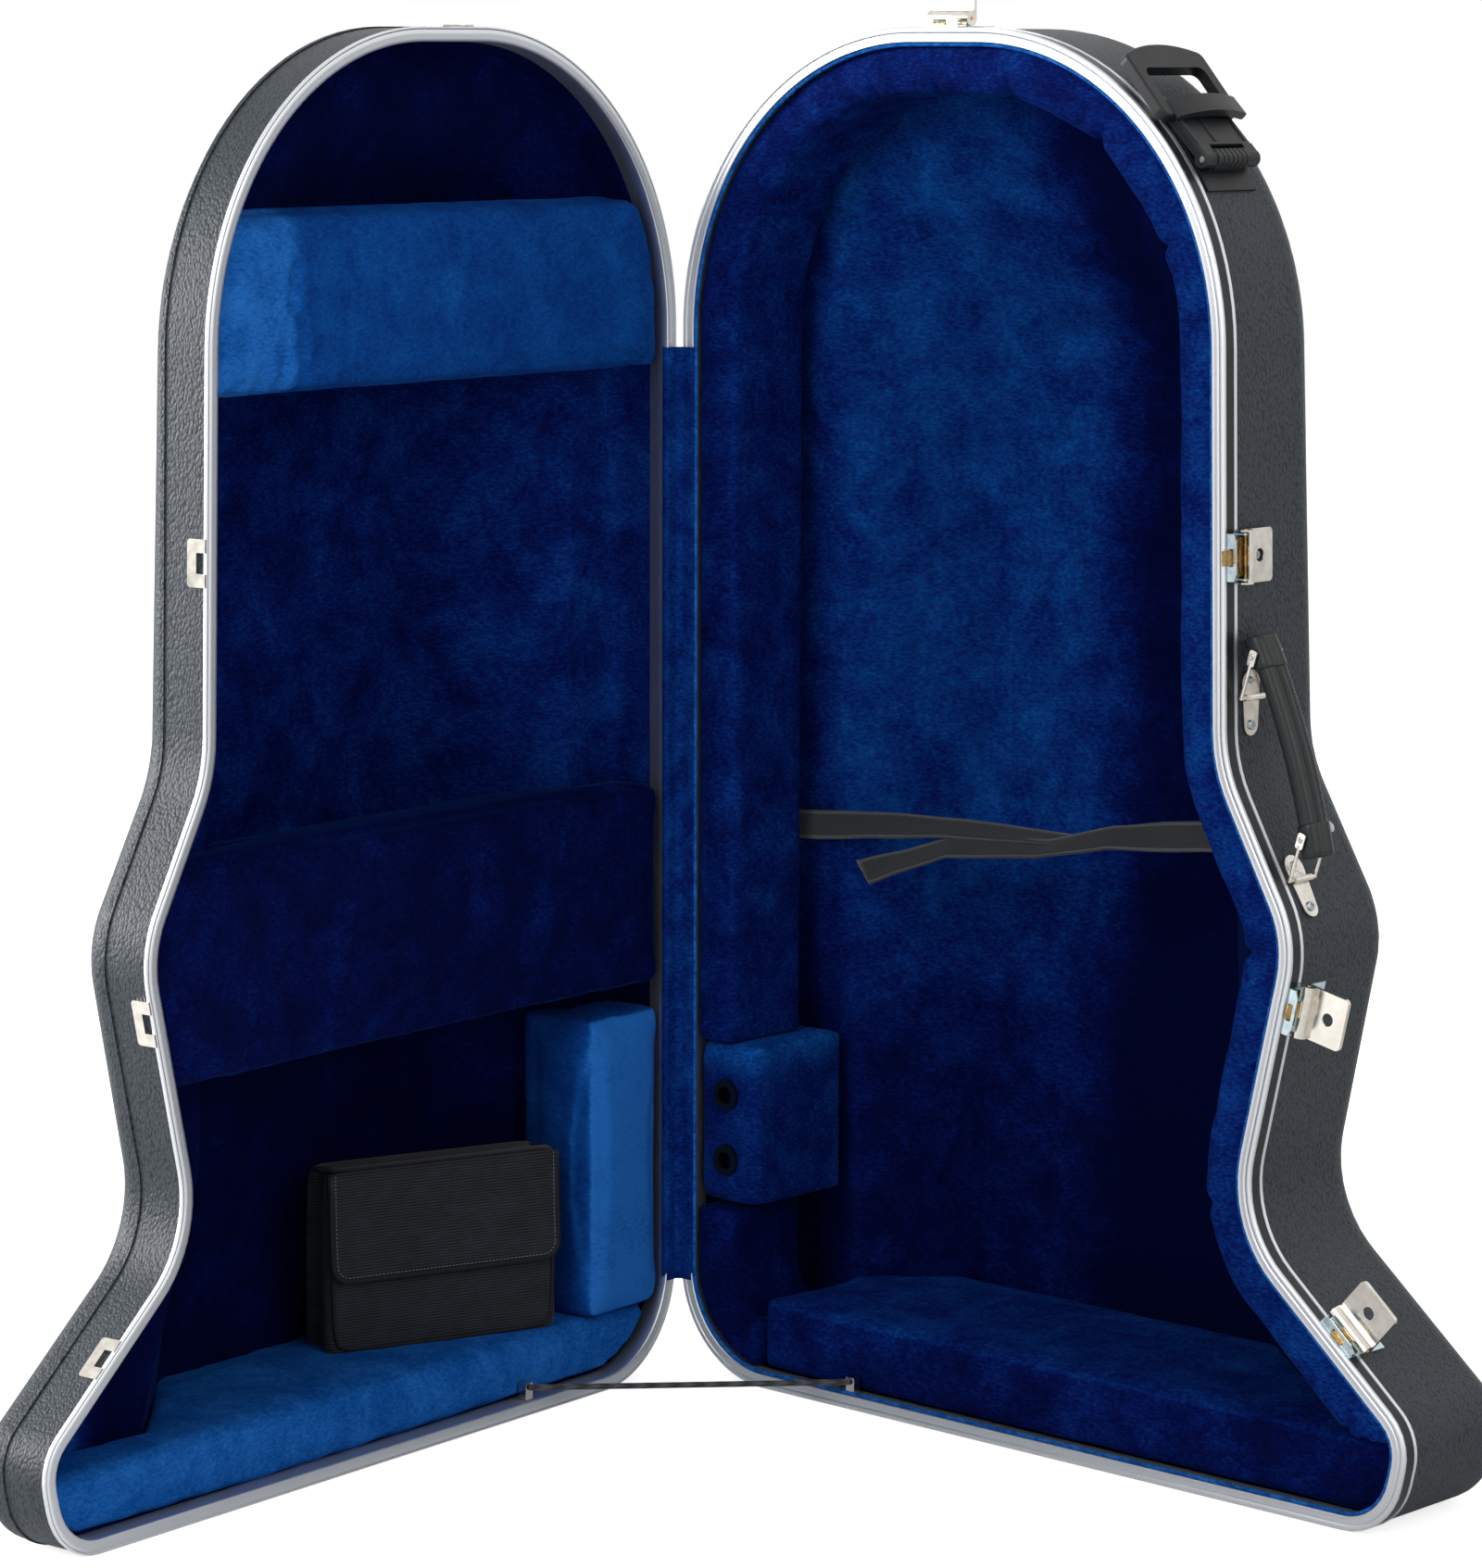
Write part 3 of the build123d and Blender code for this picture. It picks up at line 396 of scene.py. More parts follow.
# Linings: velvet glued straight to the inside of each shell, so it follows the wood, with
# a slight unevenness from the glue.
SHAKE = Vector((3.1, 7.7, 1.9))
LONGEST_EDGE, GLUE_SWELL = 0.02, 0.0016


def ruffled(point, size, seed=0.0):
    """Smooth unevenness from -1 to 1, the same every run, with humps of about that size."""
    return noise.noise(point / size + SHAKE * seed)


def copy_of(node):
    """A merged copy of a CAD node's mesh, as a bmesh."""
    form = bmesh.new()
    form.from_mesh(nodes[node].data)
    bmesh.ops.remove_doubles(form, verts=form.verts, dist=2e-5)
    return form


def divide_long_edges(form, longest):
    """Halves every edge until none is longer, keeping triangles."""
    for _ in range(8):
        wide = [e for e in form.edges if e.calc_length() > longest]
        if not wide:
            break
        bmesh.ops.subdivide_edges(form, edges=wide, cuts=1)
        bmesh.ops.triangulate(form, faces=[f for f in form.faces if len(f.verts) > 3])


def lining(node, name, material, body, towards):
    """The lining's copy, made uneven on the side that faces the inside of the case."""
    form = copy_of(node)
    divide_long_edges(form, LONGEST_EDGE)
    form.normal_update()
    heart = Vector(towards)
    for vertex in form.verts:
        seen_from = heart - vertex.co
        if vertex.normal.dot(seen_from) > 0:
            swell = 0.5 + 0.5 * ruffled(vertex.co, 0.07, 1) + 0.35 * ruffled(vertex.co, 0.022, 2)
            vertex.co += vertex.normal * GLUE_SWELL * max(0.0, swell)
    made = finish_piece(form, name, material, body, "velvet", [node])


# Painted shade and light on the linings: the base's darkens towards its free side's wall, towards the
# bottom and beside the hinge wall; the lid's darkens in its arch and low down, is a little lighter towards
# the hinge, and has painted light along its free side's rim.
base_nap = velvet("velvet_base_lining", 0.56, [("X", 0.25, 0.36, -0.56), ("Z", 0.5, 0.2, -0.36),
                                               ("X", 0.09, 0.05, -0.16)])
lid_nap = velvet("velvet_lid_lining", 0.32, [("Z", 0.92, 1.0, -0.26), ("Z", 0.46, 0.36, -0.3),
                                             ("Y", -0.24, -0.06, 0.08), ("Y", -0.625, -0.68, 0.6)])
lining("base_lining", "base_velvet_lining", base_nap, "base", (0.32, 0.03, 0.55))
lining("lid_lining", "lid_velvet_lining", lid_nap, "lid", (0.03, -0.32, 0.55))

# Padded ring: a foam strip in velvet, glued round the base's wall and gathered at each bend,
# where a pleat pinches its inner edge. Between pleats that edge runs straight. Near the hinge
# two long wrinkles run into its wall. A shorter piece with one pleat pads the lower corner.
RIM_WIDTH, PAD_WIDTH, PAD_GAP = 12.0, 40.0, 0.6
PLEATS = [(206, 1097), (274, 1104), (349, 1100), (443, 1067), (508, 983), (601, 440), (587, 237),
          (703, 80)]
PLEAT_DEPTH, PLEAT_HALF, PUFF_AWAY, LONGEST_STRAIGHT = 6.0, 3.2, 11.0, 170
WALL_WRINKLES = [((19, 1004), (70, 1030)), ((19, 954), (88, 960))]
WRINKLE_REACH, PAD_BACK, RING_FOOT, STATION_STEP = 8, 96, 0.0735, 4.0
PAD_SECTION = [(0.02, 97), (0.0, 60), (0.0, 13), (0.03, 9.2), (0.12, 7.2), (0.3, 6.0), (0.5, 5.7),
               (0.7, 6.3), (0.86, 8.0), (0.96, 11.5), (1.0, 17), (0.99, 30), (0.99, 40), (1.0, 50),
               (1.0, 62), (0.99, 75), (1.0, 92), (0.97, 97), (0.5, 97)]


def wrinkle_lifts(share, spot, depth):
    """How far each long wrinkle lifts the ring's wall near the hinge, at a place and a depth."""
    if share > 0.9 and spot.x < 70 and spot.y > 900:
        for (low, low_z), (high, high_z) in WALL_WRINKLES:
            if low - WRINKLE_REACH < depth < high + WRINKLE_REACH:
                gap = spot.y - low_z - (high_z - low_z) * (depth - low) / (high - low)
                yield 3.0 * math.exp(-(gap / 3.5) ** 2) - 1.6 * math.exp(-((gap + 8) / 4) ** 2)


def ring_strip(form, stations, pleats):
    """Sweeps the pad's section along stations, with its pleats and straight inner edge."""
    inner = [place + inwards * (RIM_WIDTH + PAD_WIDTH) for place, inwards in stations]
    marks = sorted({min(range(len(inner)), key=lambda k: (inner[k] - Vector(p)).length) for p in pleats})
    loops = []
    for k, (place, inwards) in enumerate(stations):
        before = max((m for m in marks if m <= k), default=None)
        after = min((m for m in marks if m > k), default=None)
        width = PAD_WIDTH - PAD_GAP
        bounded = before is not None and after is not None
        if bounded and (inner[after] - inner[before]).length < LONGEST_STRAIGHT:
            chord = (inner[after] - inner[before]).normalized()
            side = Vector((chord.y, -chord.x))
            slack = (inner[before] - inner[k]).dot(side) / max(0.3, inwards.dot(side))
            width += 0.75 * slack
        nearest = min(((inner[k] - inner[m]).length for m in marks), default=999.0)
        pinch = math.exp(-(nearest / PLEAT_HALF) ** 2)
        puff = math.exp(-((nearest - PUFF_AWAY) / 7.0) ** 2)
        loop = []
        for share, depth in PAD_SECTION:
            reach = share * share
            hollow = pinch * PLEAT_DEPTH * reach - puff * 1.3 * reach
            inset = RIM_WIDTH + PAD_GAP + share * (width - 2.6 * pinch * reach)
            spot = place + inwards * inset
            point = Vector((spot.x, depth + (hollow if depth < 20 else 0.0), spot.y))
            if 0.05 < share and depth < PAD_BACK:
                for lift in wrinkle_lifts(share, spot, depth):
                    point += Vector((inwards.x * lift, 0, inwards.y * lift))
                loose = 0.9 * ruffled(point, 34, 3) + 0.5 * ruffled(point, 13, 4)
                point += Vector((inwards.x * loose, -0.8 * loose, inwards.y * loose))
            loop.append(point * MM)
        loops.append(loop)
    sweep(form, loops, closed=False)


stations = walk_outline(STATION_STEP)
hinge_run = min(range(len(stations)),
                key=lambda k: abs(stations[k][0].y - 292.6) + abs(stations[k][0].x - 2.6))
ring_end = max(k for k in range(len(stations)) if stations[k][0].y > 60 and stations[k][0].x > 600)
# Painted light on the ring: its velvet is lighter towards the free side, and a touch more on faces turned
# along +X.
ring_nap = velvet("velvet_ring", 0.33, [("X", 0.44, 0.54, 0.13)], lighting_facing=("X", 0.05), patch=0.04)
form = bmesh.new()
ring_strip(form, stations[hinge_run:ring_end], PLEATS)
bmesh.ops.bisect_plane(form, geom=form.verts[:] + form.edges[:] + form.faces[:],
                       plane_co=(0, 0, RING_FOOT), plane_no=(0, 0, -1), clear_outer=True)
bmesh.ops.holes_fill(form, edges=[e for e in form.edges if e.is_boundary])
ring_pad = finish_piece(form, "base_ring_cushion", ring_nap, "base", "velvet", ["base_ring_pad"],
                        levels=1)

form = bmesh.new()
corner = sorted((s for s in stations if s[0].x < 84 and s[0].y < 150), key=lambda s: s[0].y - s[0].x)
ring_strip(form, corner, [(66, 40)])
# Painted shade: the corner pad's velvet is set to a dark level of the colours.
corner_pad = finish_piece(form, "base_corner_cushion", velvet("velvet_corner", 0.2), "base", "velvet",
                          ["base_corner_pad"], levels=1)

# Velvet edging: the lining's raw edge is turned over a cord and tucked behind the base's
# rim, where it shows as a thin light line. That line is painted light: its velvet gets a bright level.
EDGING_INSET, EDGING_DEPTH, EDGING_RADIUS, EDGING_SIDES = 13.6, 3.4, 1.5, 10
form = bmesh.new()
cord_edge = []
for k in range(EDGING_SIDES):
    angle = 2 * math.pi * k / EDGING_SIDES
    cord_edge.append((EDGING_INSET + EDGING_RADIUS * math.cos(angle),
                      EDGING_DEPTH + EDGING_RADIUS * math.sin(angle)))
follow_outline(form, BASE, cord_edge, OUTLINE_STEP)
finish_piece(form, "base_velvet_edging", velvet("velvet_edging", 0.85, patch=0.012), "base", "velvet")


# Foam blocks: floor pads, side block, middle and top pads, and the block that holds the
# mouthpieces. Each is cut foam in a velvet cover, glued to the lining, so its free faces are
# full. The top and middle pads have folds where their cover is taken up.
VOXEL, SMOOTHINGS, CLOTH_FRAMES, HELD_DEPTH = 0.005, 3, 20, 0.02
FOLD_DEPTH, FOLD_HALF, FOLD_FACE = 0.0035, 0.004, 0.03


def unswung(point):
    """A point of the open lid, as it lies when the lid is shut."""
    return SWING.inverted() @ point


def mesh_as_shown(made):
    """A new mesh of an object, with its modifiers or its bevel applied."""
    graph = bpy.context.evaluated_depsgraph_get()
    return bpy.data.meshes.new_from_object(made.evaluated_get(graph))


def remeshed(node, name):
    """A CAD pad's copy as a new object, remeshed evenly with its edges softened."""
    form = copy_of(node)
    mesh = bpy.data.meshes.new(name)
    form.to_mesh(mesh)
    form.free()
    made = new_object(name, mesh)
    voxels = made.modifiers.new("voxels", "REMESH")
    voxels.mode = "VOXEL"
    voxels.voxel_size = VOXEL
    mesh = mesh_as_shown(made)
    made.modifiers.clear()
    made.data = mesh
    form = bmesh.new()
    form.from_mesh(mesh)
    for _ in range(SMOOTHINGS):
        bmesh.ops.smooth_vert(form, verts=form.verts, factor=0.5, use_axis_x=True, use_axis_y=True,
                              use_axis_z=True)
    form.to_mesh(mesh)
    form.free()
    return made


def puff_up(made, in_lid, force, most):
    """Swells a pad by cloth pressure, held at its back. No point moves further than the most."""
    rest = [v.co.copy() for v in made.data.vertices]
    depths = [(-unswung(c).y if in_lid else c.y) for c in rest]
    held = made.vertex_groups.new(name="held")
    back = max(depths) - HELD_DEPTH
    for k, depth in enumerate(depths):
        held.add([k], 1.0 if depth > back else 0.0, "REPLACE")
    cloth = made.modifiers.new("pressure", "CLOTH")
    cloth.settings.quality = 4
    cloth.settings.use_pressure = True
    cloth.settings.uniform_pressure_force = force
    cloth.settings.effector_weights.gravity = 0
    cloth.settings.vertex_group_mass = "held"
    cloth.point_cache.frame_end = CLOTH_FRAMES
    for number in range(1, CLOTH_FRAMES + 1):
        bpy.context.scene.frame_set(number)
    swelled = mesh_as_shown(made)
    for vertex, start, end in zip(made.data.vertices, rest, swelled.vertices):
        step = end.co - start
        if step.length > most:
            step *= most / step.length
        vertex.co = start + step
    made.modifiers.clear()
    made.vertex_groups.clear()
    bpy.context.scene.frame_set(1)


def fold_lift(spot, folds):
    """How far the folds press the cover in at a place (x, z), with a low swell beside each."""
    lift = 0.0
    for line in folds:
        for a, b in zip(line, line[1:]):
            start, end = Vector(a) * MM, Vector(b) * MM
            along = (spot - start).dot(end - start) / (end - start).length_squared
            gap = (spot - start - (end - start) * max(0.0, min(1.0, along))).length
            lift -= FOLD_DEPTH * math.exp(-(gap / FOLD_HALF) ** 2)
            lift += 0.0012 * math.exp(-((gap - 0.009) / 0.005) ** 2)
    return lift


def foam(node, name, material, body, folds=(), swell=0.0025, puffed=2.0):
    """A remeshed copy of a CAD pad, swelled by cloth pressure, with its folds pressed in."""
    made = remeshed(node, name)
    mesh = made.data
    if puffed:
        puff_up(made, body == "lid", puffed, swell)
    mesh.update()
    normals = [v.normal.copy() for v in mesh.vertices]
    for vertex, normal in zip(mesh.vertices, normals):
        flat = unswung(vertex.co) if body == "lid" else vertex.co
        lift = 0.0007 * ruffled(vertex.co, 0.045, 5) + 0.0004 * ruffled(vertex.co, 0.016, 6)
        if abs(flat.y) < FOLD_FACE:
            lift += fold_lift(Vector((flat.x, flat.z)), folds)
        vertex.co += normal * lift
    mesh.polygons.foreach_set("use_smooth", [True] * len(mesh.polygons))
    mesh.materials.clear()
    mesh.materials.append(material)
    finer = made.modifiers.new("smooth", "SUBSURF")
    finer.levels = finer.render_levels = 1
    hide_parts(node)
    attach(made, body)


# Painted light and shade on the pads: the base's floor pad is dark, darker towards the free side and
# lighter on its top faces; the lid's floor pad is bright; the side block is lighter on faces turned along
# +X; the middle pad is dark; the top pad is lighter towards the lid's free side; the mouthpiece block has a
# painted highlight on its top.
base_floor_nap = velvet("velvet_base_floor", 0.28, [("X", 0.5, 0.62, -0.08)], lighting_facing=("Z", 0.18))
foam("base_floor_pad", "base_floor_cushion", base_floor_nap, "base")
lid_floor_nap = velvet("velvet_lid_floor", 0.86, contrast=1.0)
foam("lid_floor_pad", "lid_floor_cushion", lid_floor_nap, "lid")
side_nap = velvet("velvet_lid_side", 0.62, lighting_facing=("X", 0.38), contrast=1.0)
foam("lid_side_block", "lid_side_cushion", side_nap, "lid")
MIDDLE_FOLDS = [[(529, 376), (528, 350)], [(513, 403), (520, 380)]]
foam("lid_middle_pad", "lid_middle_cushion", velvet("velvet_lid_middle", 0.14), "lid", MIDDLE_FOLDS)
TOP_FOLDS = [[(470, 965), (476, 937), (466, 926), (462, 890), (458, 875)], [(486, 902), (485, 877)],
             [(442, 903), (453, 886)], [(508, 888), (508, 874)]]
top_nap = velvet("velvet_lid_top", 0.68, [("Y", -0.45, -0.48, 0.24)], contrast=1.1)
foam("lid_top_pad", "lid_top_cushion", top_nap, "lid", TOP_FOLDS, swell=0.004, puffed=3.0)
block_nap = velvet("velvet_block", 0.44, [("Z", 0.255, 0.29, 0.26)])
foam("mouthpiece_block", "mouthpiece_cushion", block_nap, "base", swell=0.0015, puffed=0.0)

# Grommets: two moulded rubber rings pushed into the block, matt black.
rubber, tree, place, out = start_surface("black_rubber")
bloom = speckle(tree, place, 300.0, 3.0)
coat(tree, out, {"Base Color": linear("#08090a"), "Roughness": between(tree, bloom, 0.25, 0.45),
                 "Specular IOR Level": 0.4})
dress(["mouthpiece_grommets"], rubber)

# Hinge strip: one velvet strip glued over both rims along the hinge. It hides the knuckles
# and folds in a valley between the halves.
STRIP_LOW, STRIP_HIGH, STRIP_PARTS = 80.5, 884.5, 100
FOLD = [(15.3, 6.0), (15.1, 2.2), (14.4, 0.75), (12.6, 0.3), (8.5, 0.2), (5.4, 0.15), (4.0, -0.15),
        (3.1, -0.8)]
VALLEY = (2.25, -2.06, 0)


def ribbon(form, line, step, count):
    """Extrudes an open line of points into a sheet, a number of equal steps wide."""
    first = [form.verts.new(p) for p in line]
    edges = [form.edges.new(pair) for pair in zip(first, first[1:])]
    for _ in range(count):
        made = bmesh.ops.extrude_edge_only(form, edges=edges)["geom"]
        bmesh.ops.translate(form, verts=[v for v in made if isinstance(v, bmesh.types.BMVert)], vec=step)
        edges = [e for e in made if isinstance(e, bmesh.types.BMEdge)]
    bmesh.ops.recalc_face_normals(form, faces=form.faces)


def thicken(made, thickness):
    """Gives a sheet its thickness, half to each side."""
    thick = made.modifiers.new("thick", "SOLIDIFY")
    thick.thickness = thickness
    thick.offset = 0.0


form = bmesh.new()
base_side = [Vector((x, y, 0)) * MM for x, y in FOLD]
lid_side = [SWING @ (Vector((x, -y, 0)) * MM) for x, y in reversed(FOLD)]
section = base_side + [Vector(VALLEY) * MM] + lid_side
rise = (STRIP_HIGH - STRIP_LOW) * MM / STRIP_PARTS
ribbon(form, [p + Vector((0, 0, STRIP_LOW * MM)) for p in section], (0, 0, rise), STRIP_PARTS)
width = sum((b - a).length for a, b in zip(section, section[1:]))
for vertex in form.verts:
    bump = 0.00018 * ruffled(vertex.co, 0.03, 7)
    vertex.co += Vector((bump, -bump, 0))
# Painted light and shade: the strip's velvet is set to a middle level of the colours.
velvet_strip = velvet("velvet_strip", 0.5, patch=0.03)
strip = finish_piece(form, "hinge_velvet_strip", velvet_strip, None, "velvet",
                     ["hinge_cover_base", "hinge_cover_lid"])
thicken(strip, 0.0005)
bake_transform(strip)

# Tie strap: two bands of black twill webbing, 25 mm wide, with a light line woven along
# each edge. They are sewn to the lining behind the ring, twist a little, and lap mid-way.
STRAP_HALF, STRAP_THICKNESS, STRAP_DEPTH = 12.5, 1.3, 99.0
TWILL, LINE_FROM_MIDDLE, LINE_HALF = 0.0021, 0.0105, 0.0011
webbing, tree, out = start_material("black_twill_webbing")
uv = add_node(tree, "UVMap")
where = add_node(tree, "SeparateXYZ", {"Vector": uv.outputs["UV"]})
slant = add_node(tree, "Math", {0: where.outputs["X"], 1: where.outputs["Y"]}, operation="ADD")
turned = add_node(tree, "Math", {0: slant.outputs[0], 1: 2 * math.pi / TWILL}, operation="MULTIPLY")
wave = add_node(tree, "Math", {0: turned.outputs[0]}, operation="SINE")
rib = add_node(tree, "MapRange", {"Value": wave.outputs[0], "From Min": -1.0, "From Max": 1.0}).outputs[0]
from_middle = add_node(tree, "Math", {0: where.outputs["Y"]}, operation="ABSOLUTE").outputs[0]
edge_line = add_node(tree, "Math", {0: from_middle, 1: LINE_FROM_MIDDLE, 2: LINE_HALF},
                     operation="COMPARE").outputs[0]
edged = add_node(tree, "Mix", {"Factor": edge_line, 6: two_tone(tree, rib, "#101113", "#34373a"),
                               7: linear("#4c4f53")}, data_type="RGBA")
coat(tree, out, {"Base Color": edged.outputs[2], "Roughness": 0.8, "Sheen Weight": 0.25,
                 "Specular IOR Level": 0.25, "Normal": relief(tree, rib, 0.6, 0.0004)})


def webbing_band(name, node, points, depth, slanted_end=0.0):
    """A band that follows points (x, z, twist in degrees), with UVs in metres along it."""
    form = bmesh.new()
    sides = [(-1, 0), (-0.96, 0.6), (-0.5, 0.62), (0, 0.65), (0.5, 0.62), (0.96, 0.6), (1, 0),
             (0.96, -0.6), (0.5, -0.62), (0, -0.65), (-0.5, -0.62), (-0.96, -0.6)]
    fine = []
    for (xa, za, ta), (xb, zb, tb) in zip(points, points[1:]):
        parts = max(2, round(math.hypot(xb - xa, zb - za) / 6))
        for k in range(parts):
            t = k / parts
            ease = t * t * (3 - 2 * t)
            fine.append((xa + (xb - xa) * t, za + (zb - za) * t, ta + (tb - ta) * ease))
    fine.append(points[-1])
    loops = []
    for k, (x, z, twist) in enumerate(fine):
        ahead, behind = fine[min(k + 1, len(fine) - 1)], fine[max(k - 1, 0)]
        along = Vector((ahead[0] - behind[0], 0, ahead[1] - behind[1])).normalized()
        angle = math.radians(twist)
        flat = Vector((-along.z, 0, along.x))
        wide = flat * math.cos(angle) + Vector((0, 1, 0)) * math.sin(angle)
        thick = wide.cross(along)
        skew = slanted_end * math.exp(-k / 1.5)
        sag = 1.2 * ruffled(Vector((x, depth, z)), 60, 8)
        middle = Vector((x, depth + STRAP_THICKNESS / 2 + sag, z))
        loops.append([(middle + wide * STRAP_HALF * a + thick * STRAP_THICKNESS * b - along * skew * a) * MM
                      for a, b in sides])
    sweep(form, loops, closed=False)
    layer = form.loops.layers.uv.new("UVMap")
    for face in form.faces:
        for corner in face.loops:
            spot = corner.vert.co / MM
            k = min(range(len(fine)), key=lambda n: (spot.x - fine[n][0]) ** 2 + (spot.z - fine[n][1]) ** 2)
            middle = Vector((fine[k][0], depth + STRAP_THICKNESS / 2, fine[k][1]))
            across = (spot - middle).length * (1 if spot.z > middle.z else -1)
            corner[layer].uv = (spot.x * MM, across * MM)
    finish_piece(form, name, webbing, "base", "strap_webbing", [node])


BACK_ROUTE = [(16, 468, 0), (60, 471, 8), (129, 478, 32), (211, 484, 56), (345, 487, 74)]
FRONT_ROUTE = [(122, 438, 20), (171, 454, 42), (219, 471, 46), (319, 480, 58), (390, 497, 44),
               (481, 508, 0), (600, 518, 0)]
webbing_band("strap_back_webbing", "strap_back_band", BACK_ROUTE, STRAP_DEPTH + 14.0)
webbing_band("strap_front_webbing", "strap_front_band", FRONT_ROUTE, STRAP_DEPTH, slanted_end=8.0)

# Stay cord: a 5 mm round braid between the halves. It stops the lid at its open angle, so
# it is pulled straight here. Each end is held in a nickel anchor on the rim's lip.
CORD_X, CORD_HEIGHT, ANCHOR_FRONT, CORD_DIAMETER = 196.0, 23.0, 3.5, 5.0
cord_start = Vector((CORD_X, ANCHOR_FRONT, CORD_HEIGHT)) * MM
cord_end = SWING @ (Vector((CORD_X, -ANCHOR_FRONT, CORD_HEIGHT)) * MM)
curve = bpy.data.curves.new("stay_cord_line", "CURVE")
curve.dimensions = "3D"
curve.resolution_u = 24
spline = curve.splines.new("NURBS")
spline.points.add(4)
for k, point in enumerate(spline.points):
    spot = cord_start.lerp(cord_end, k / 4)
    point.co = (spot.x, spot.y, spot.z, 1.0)
spline.order_u = 3
spline.use_endpoint_u = True
line = new_object("stay_cord_line", curve)
bare = mesh_as_shown(line)
curve.bevel_depth = CORD_DIAMETER / 2 * MM
curve.bevel_resolution = 5
curve.use_fill_caps = True
round_cord = mesh_as_shown(line)
bpy.data.objects.remove(line)
bpy.data.curves.remove(curve)
bpy.data.meshes.remove(bare)
braid, tree, place, out = start_surface("black_braided_cord")
turned = add_node(tree, "Mapping", {"Vector": place, "Rotation": (0.0, 0.6, 0.83)})
strands = add_node(tree, "TexWave", {"Vector": turned.outputs[0], "Scale": 95.0,
                                     "Distortion": 1.0}).outputs["Fac"]
coat(tree, out, {"Base Color": two_tone(tree, strands, "#0d0e10", "#43464a"), "Roughness": 0.7,
                 "Sheen Weight": 0.2, "Normal": relief(tree, strands, 0.7, 0.0006)})
round_cord.materials.clear()
round_cord.materials.append(braid)
for face in round_cord.polygons:
    face.use_smooth = True
cord = new_object("stay_cord_braid", round_cord)
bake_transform(cord)
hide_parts("stay_cord")

# Accessory pouch: black ribbed cloth with a stiff insert, standing on the lid's floor pad.
# Its seams and its flap are bound with tape, stitched down in one row. A wave texture of
# scale 1 repeats about every 0.31 m.
POUCH_WIDTH, POUCH_THICK, POUCH_HEIGHT, FLAP_DROP = 214.0, 50.0, 156.0, 92.0
POUCH_PLACE, POUCH_TURN = (138, -20, 60.6), math.radians(-23)
POUCH = SWING @ Matrix.Translation(Vector(POUCH_PLACE) * MM) @ Matrix.Rotation(POUCH_TURN, 4, "Z")
RIB, WAVE_REPEAT = 0.0024, 0.31
pouch_cloth, tree, place, out = start_surface("black_ribbed_nylon")
ribs = add_node(tree, "TexWave", {"Vector": place, "Scale": WAVE_REPEAT / RIB, "Distortion": 0.6,
                                  "Detail": 2.0}, bands_direction="Z").outputs["Fac"]
mottle = speckle(tree, place, 60.0, 4.0)
mixed = add_node(tree, "Mix", {"Factor": 0.45, 2: ribs, 3: mottle}, data_type="FLOAT").outputs[0]
coat(tree, out, {"Base Color": two_tone(tree, mixed, "#050608", "#2c3037", 0.2, 0.8),
                 "Roughness": 0.75, "Sheen Weight": 0.1, "Specular IOR Level": 0.2,
                 "Normal": relief(tree, ribs, 0.5, 0.0005)})
tape, tree, place, out = start_surface("black_binding_tape")
grainy = speckle(tree, place, 900.0)
coat(tree, out, {"Base Color": two_tone(tree, grainy, "#0c0d0f", "#24272b"), "Roughness": 0.7,
                 "Specular IOR Level": 0.15})
thread, tree, place, out = start_surface("grey_sewing_thread")
twist = speckle(tree, place, 1500.0)
coat(tree, out, {"Base Color": two_tone(tree, twist, "#4a4e54", "#8a8f98"), "Roughness": 0.6})
GUSSET = 8.0


def rounded_section(width, thick, corner, height):
    """A loop round the pouch at one height, with rounded corners and its sides folded in."""
    loop = []
    far, back = width - corner, corner - thick
    for cx, cy, start in ((far, -corner, 0), (corner, -corner, 90), (corner, back, 180), (far, back, 270)):
        for k in range(5):
            angle = math.radians(start + 22.5 * k)
            loop.append(Vector((cx + corner * math.cos(angle), cy + corner * math.sin(angle), height)))
        if start == 90:
            loop += [Vector((GUSSET, -thick * share, height)) for share in (0.36, 0.64)]
    return loop + [Vector((width - GUSSET, -thick * share, height)) for share in (0.64, 0.36)]


BAG_LEVELS = [(0, 3), (1.5, 0.8), (6, 0), (30, 0), (60, 0), (90, 0.2), (120, 0.8), (142, 1.6), (150, 3),
              (154.5, 6), (156, 11)]
form = bmesh.new()
loops = []
for height, shrink in BAG_LEVELS:
    loop = []
    for point in rounded_section(POUCH_WIDTH - 2 * shrink, POUCH_THICK - 2 * shrink, 9.0, height):
        point += Vector((shrink, -shrink, 0))
        loose = 0.8 * ruffled(point, 45, 9)
        slack = 2.2 * math.sin(math.pi * height / 160) * math.sin(math.pi * point.x / POUCH_WIDTH)
        point.y += loose * 0.5 + (-slack * 0.6 if point.y < -25 else -0.6)
        loop.append(POUCH @ (point * MM))
    loops.append(loop)
sweep(form, loops, closed=False)
finish_piece(form, "pouch_bag", pouch_cloth, "lid", "pouch_cloth", ["pouch_body"], levels=2)


def tube(form, points, radius, flat=1.0, closed=False):
    """A round or flattened tube through points, lying on a face whose normal is local Y."""
    loops = []
    count = len(points)
    for k, point in enumerate(points):
        ahead = points[(k + 1) % count] if closed else points[min(k + 1, count - 1)]
        behind = points[k - 1] if closed else points[max(k - 1, 0)]
        along = (ahead - behind).normalized()
        rise = Vector((0, 1, 0)) if abs(along.y) < 0.9 else Vector((1, 0, 0))
        aside = along.cross(rise).normalized()
        rise = aside.cross(along)
        ring = []
        for n in range(8):
            angle = 2 * math.pi * n / 8
            ring.append(point + aside * radius * math.cos(angle) + rise * radius * flat * math.sin(angle))
        loops.append(ring)
    sweep(form, loops, closed)


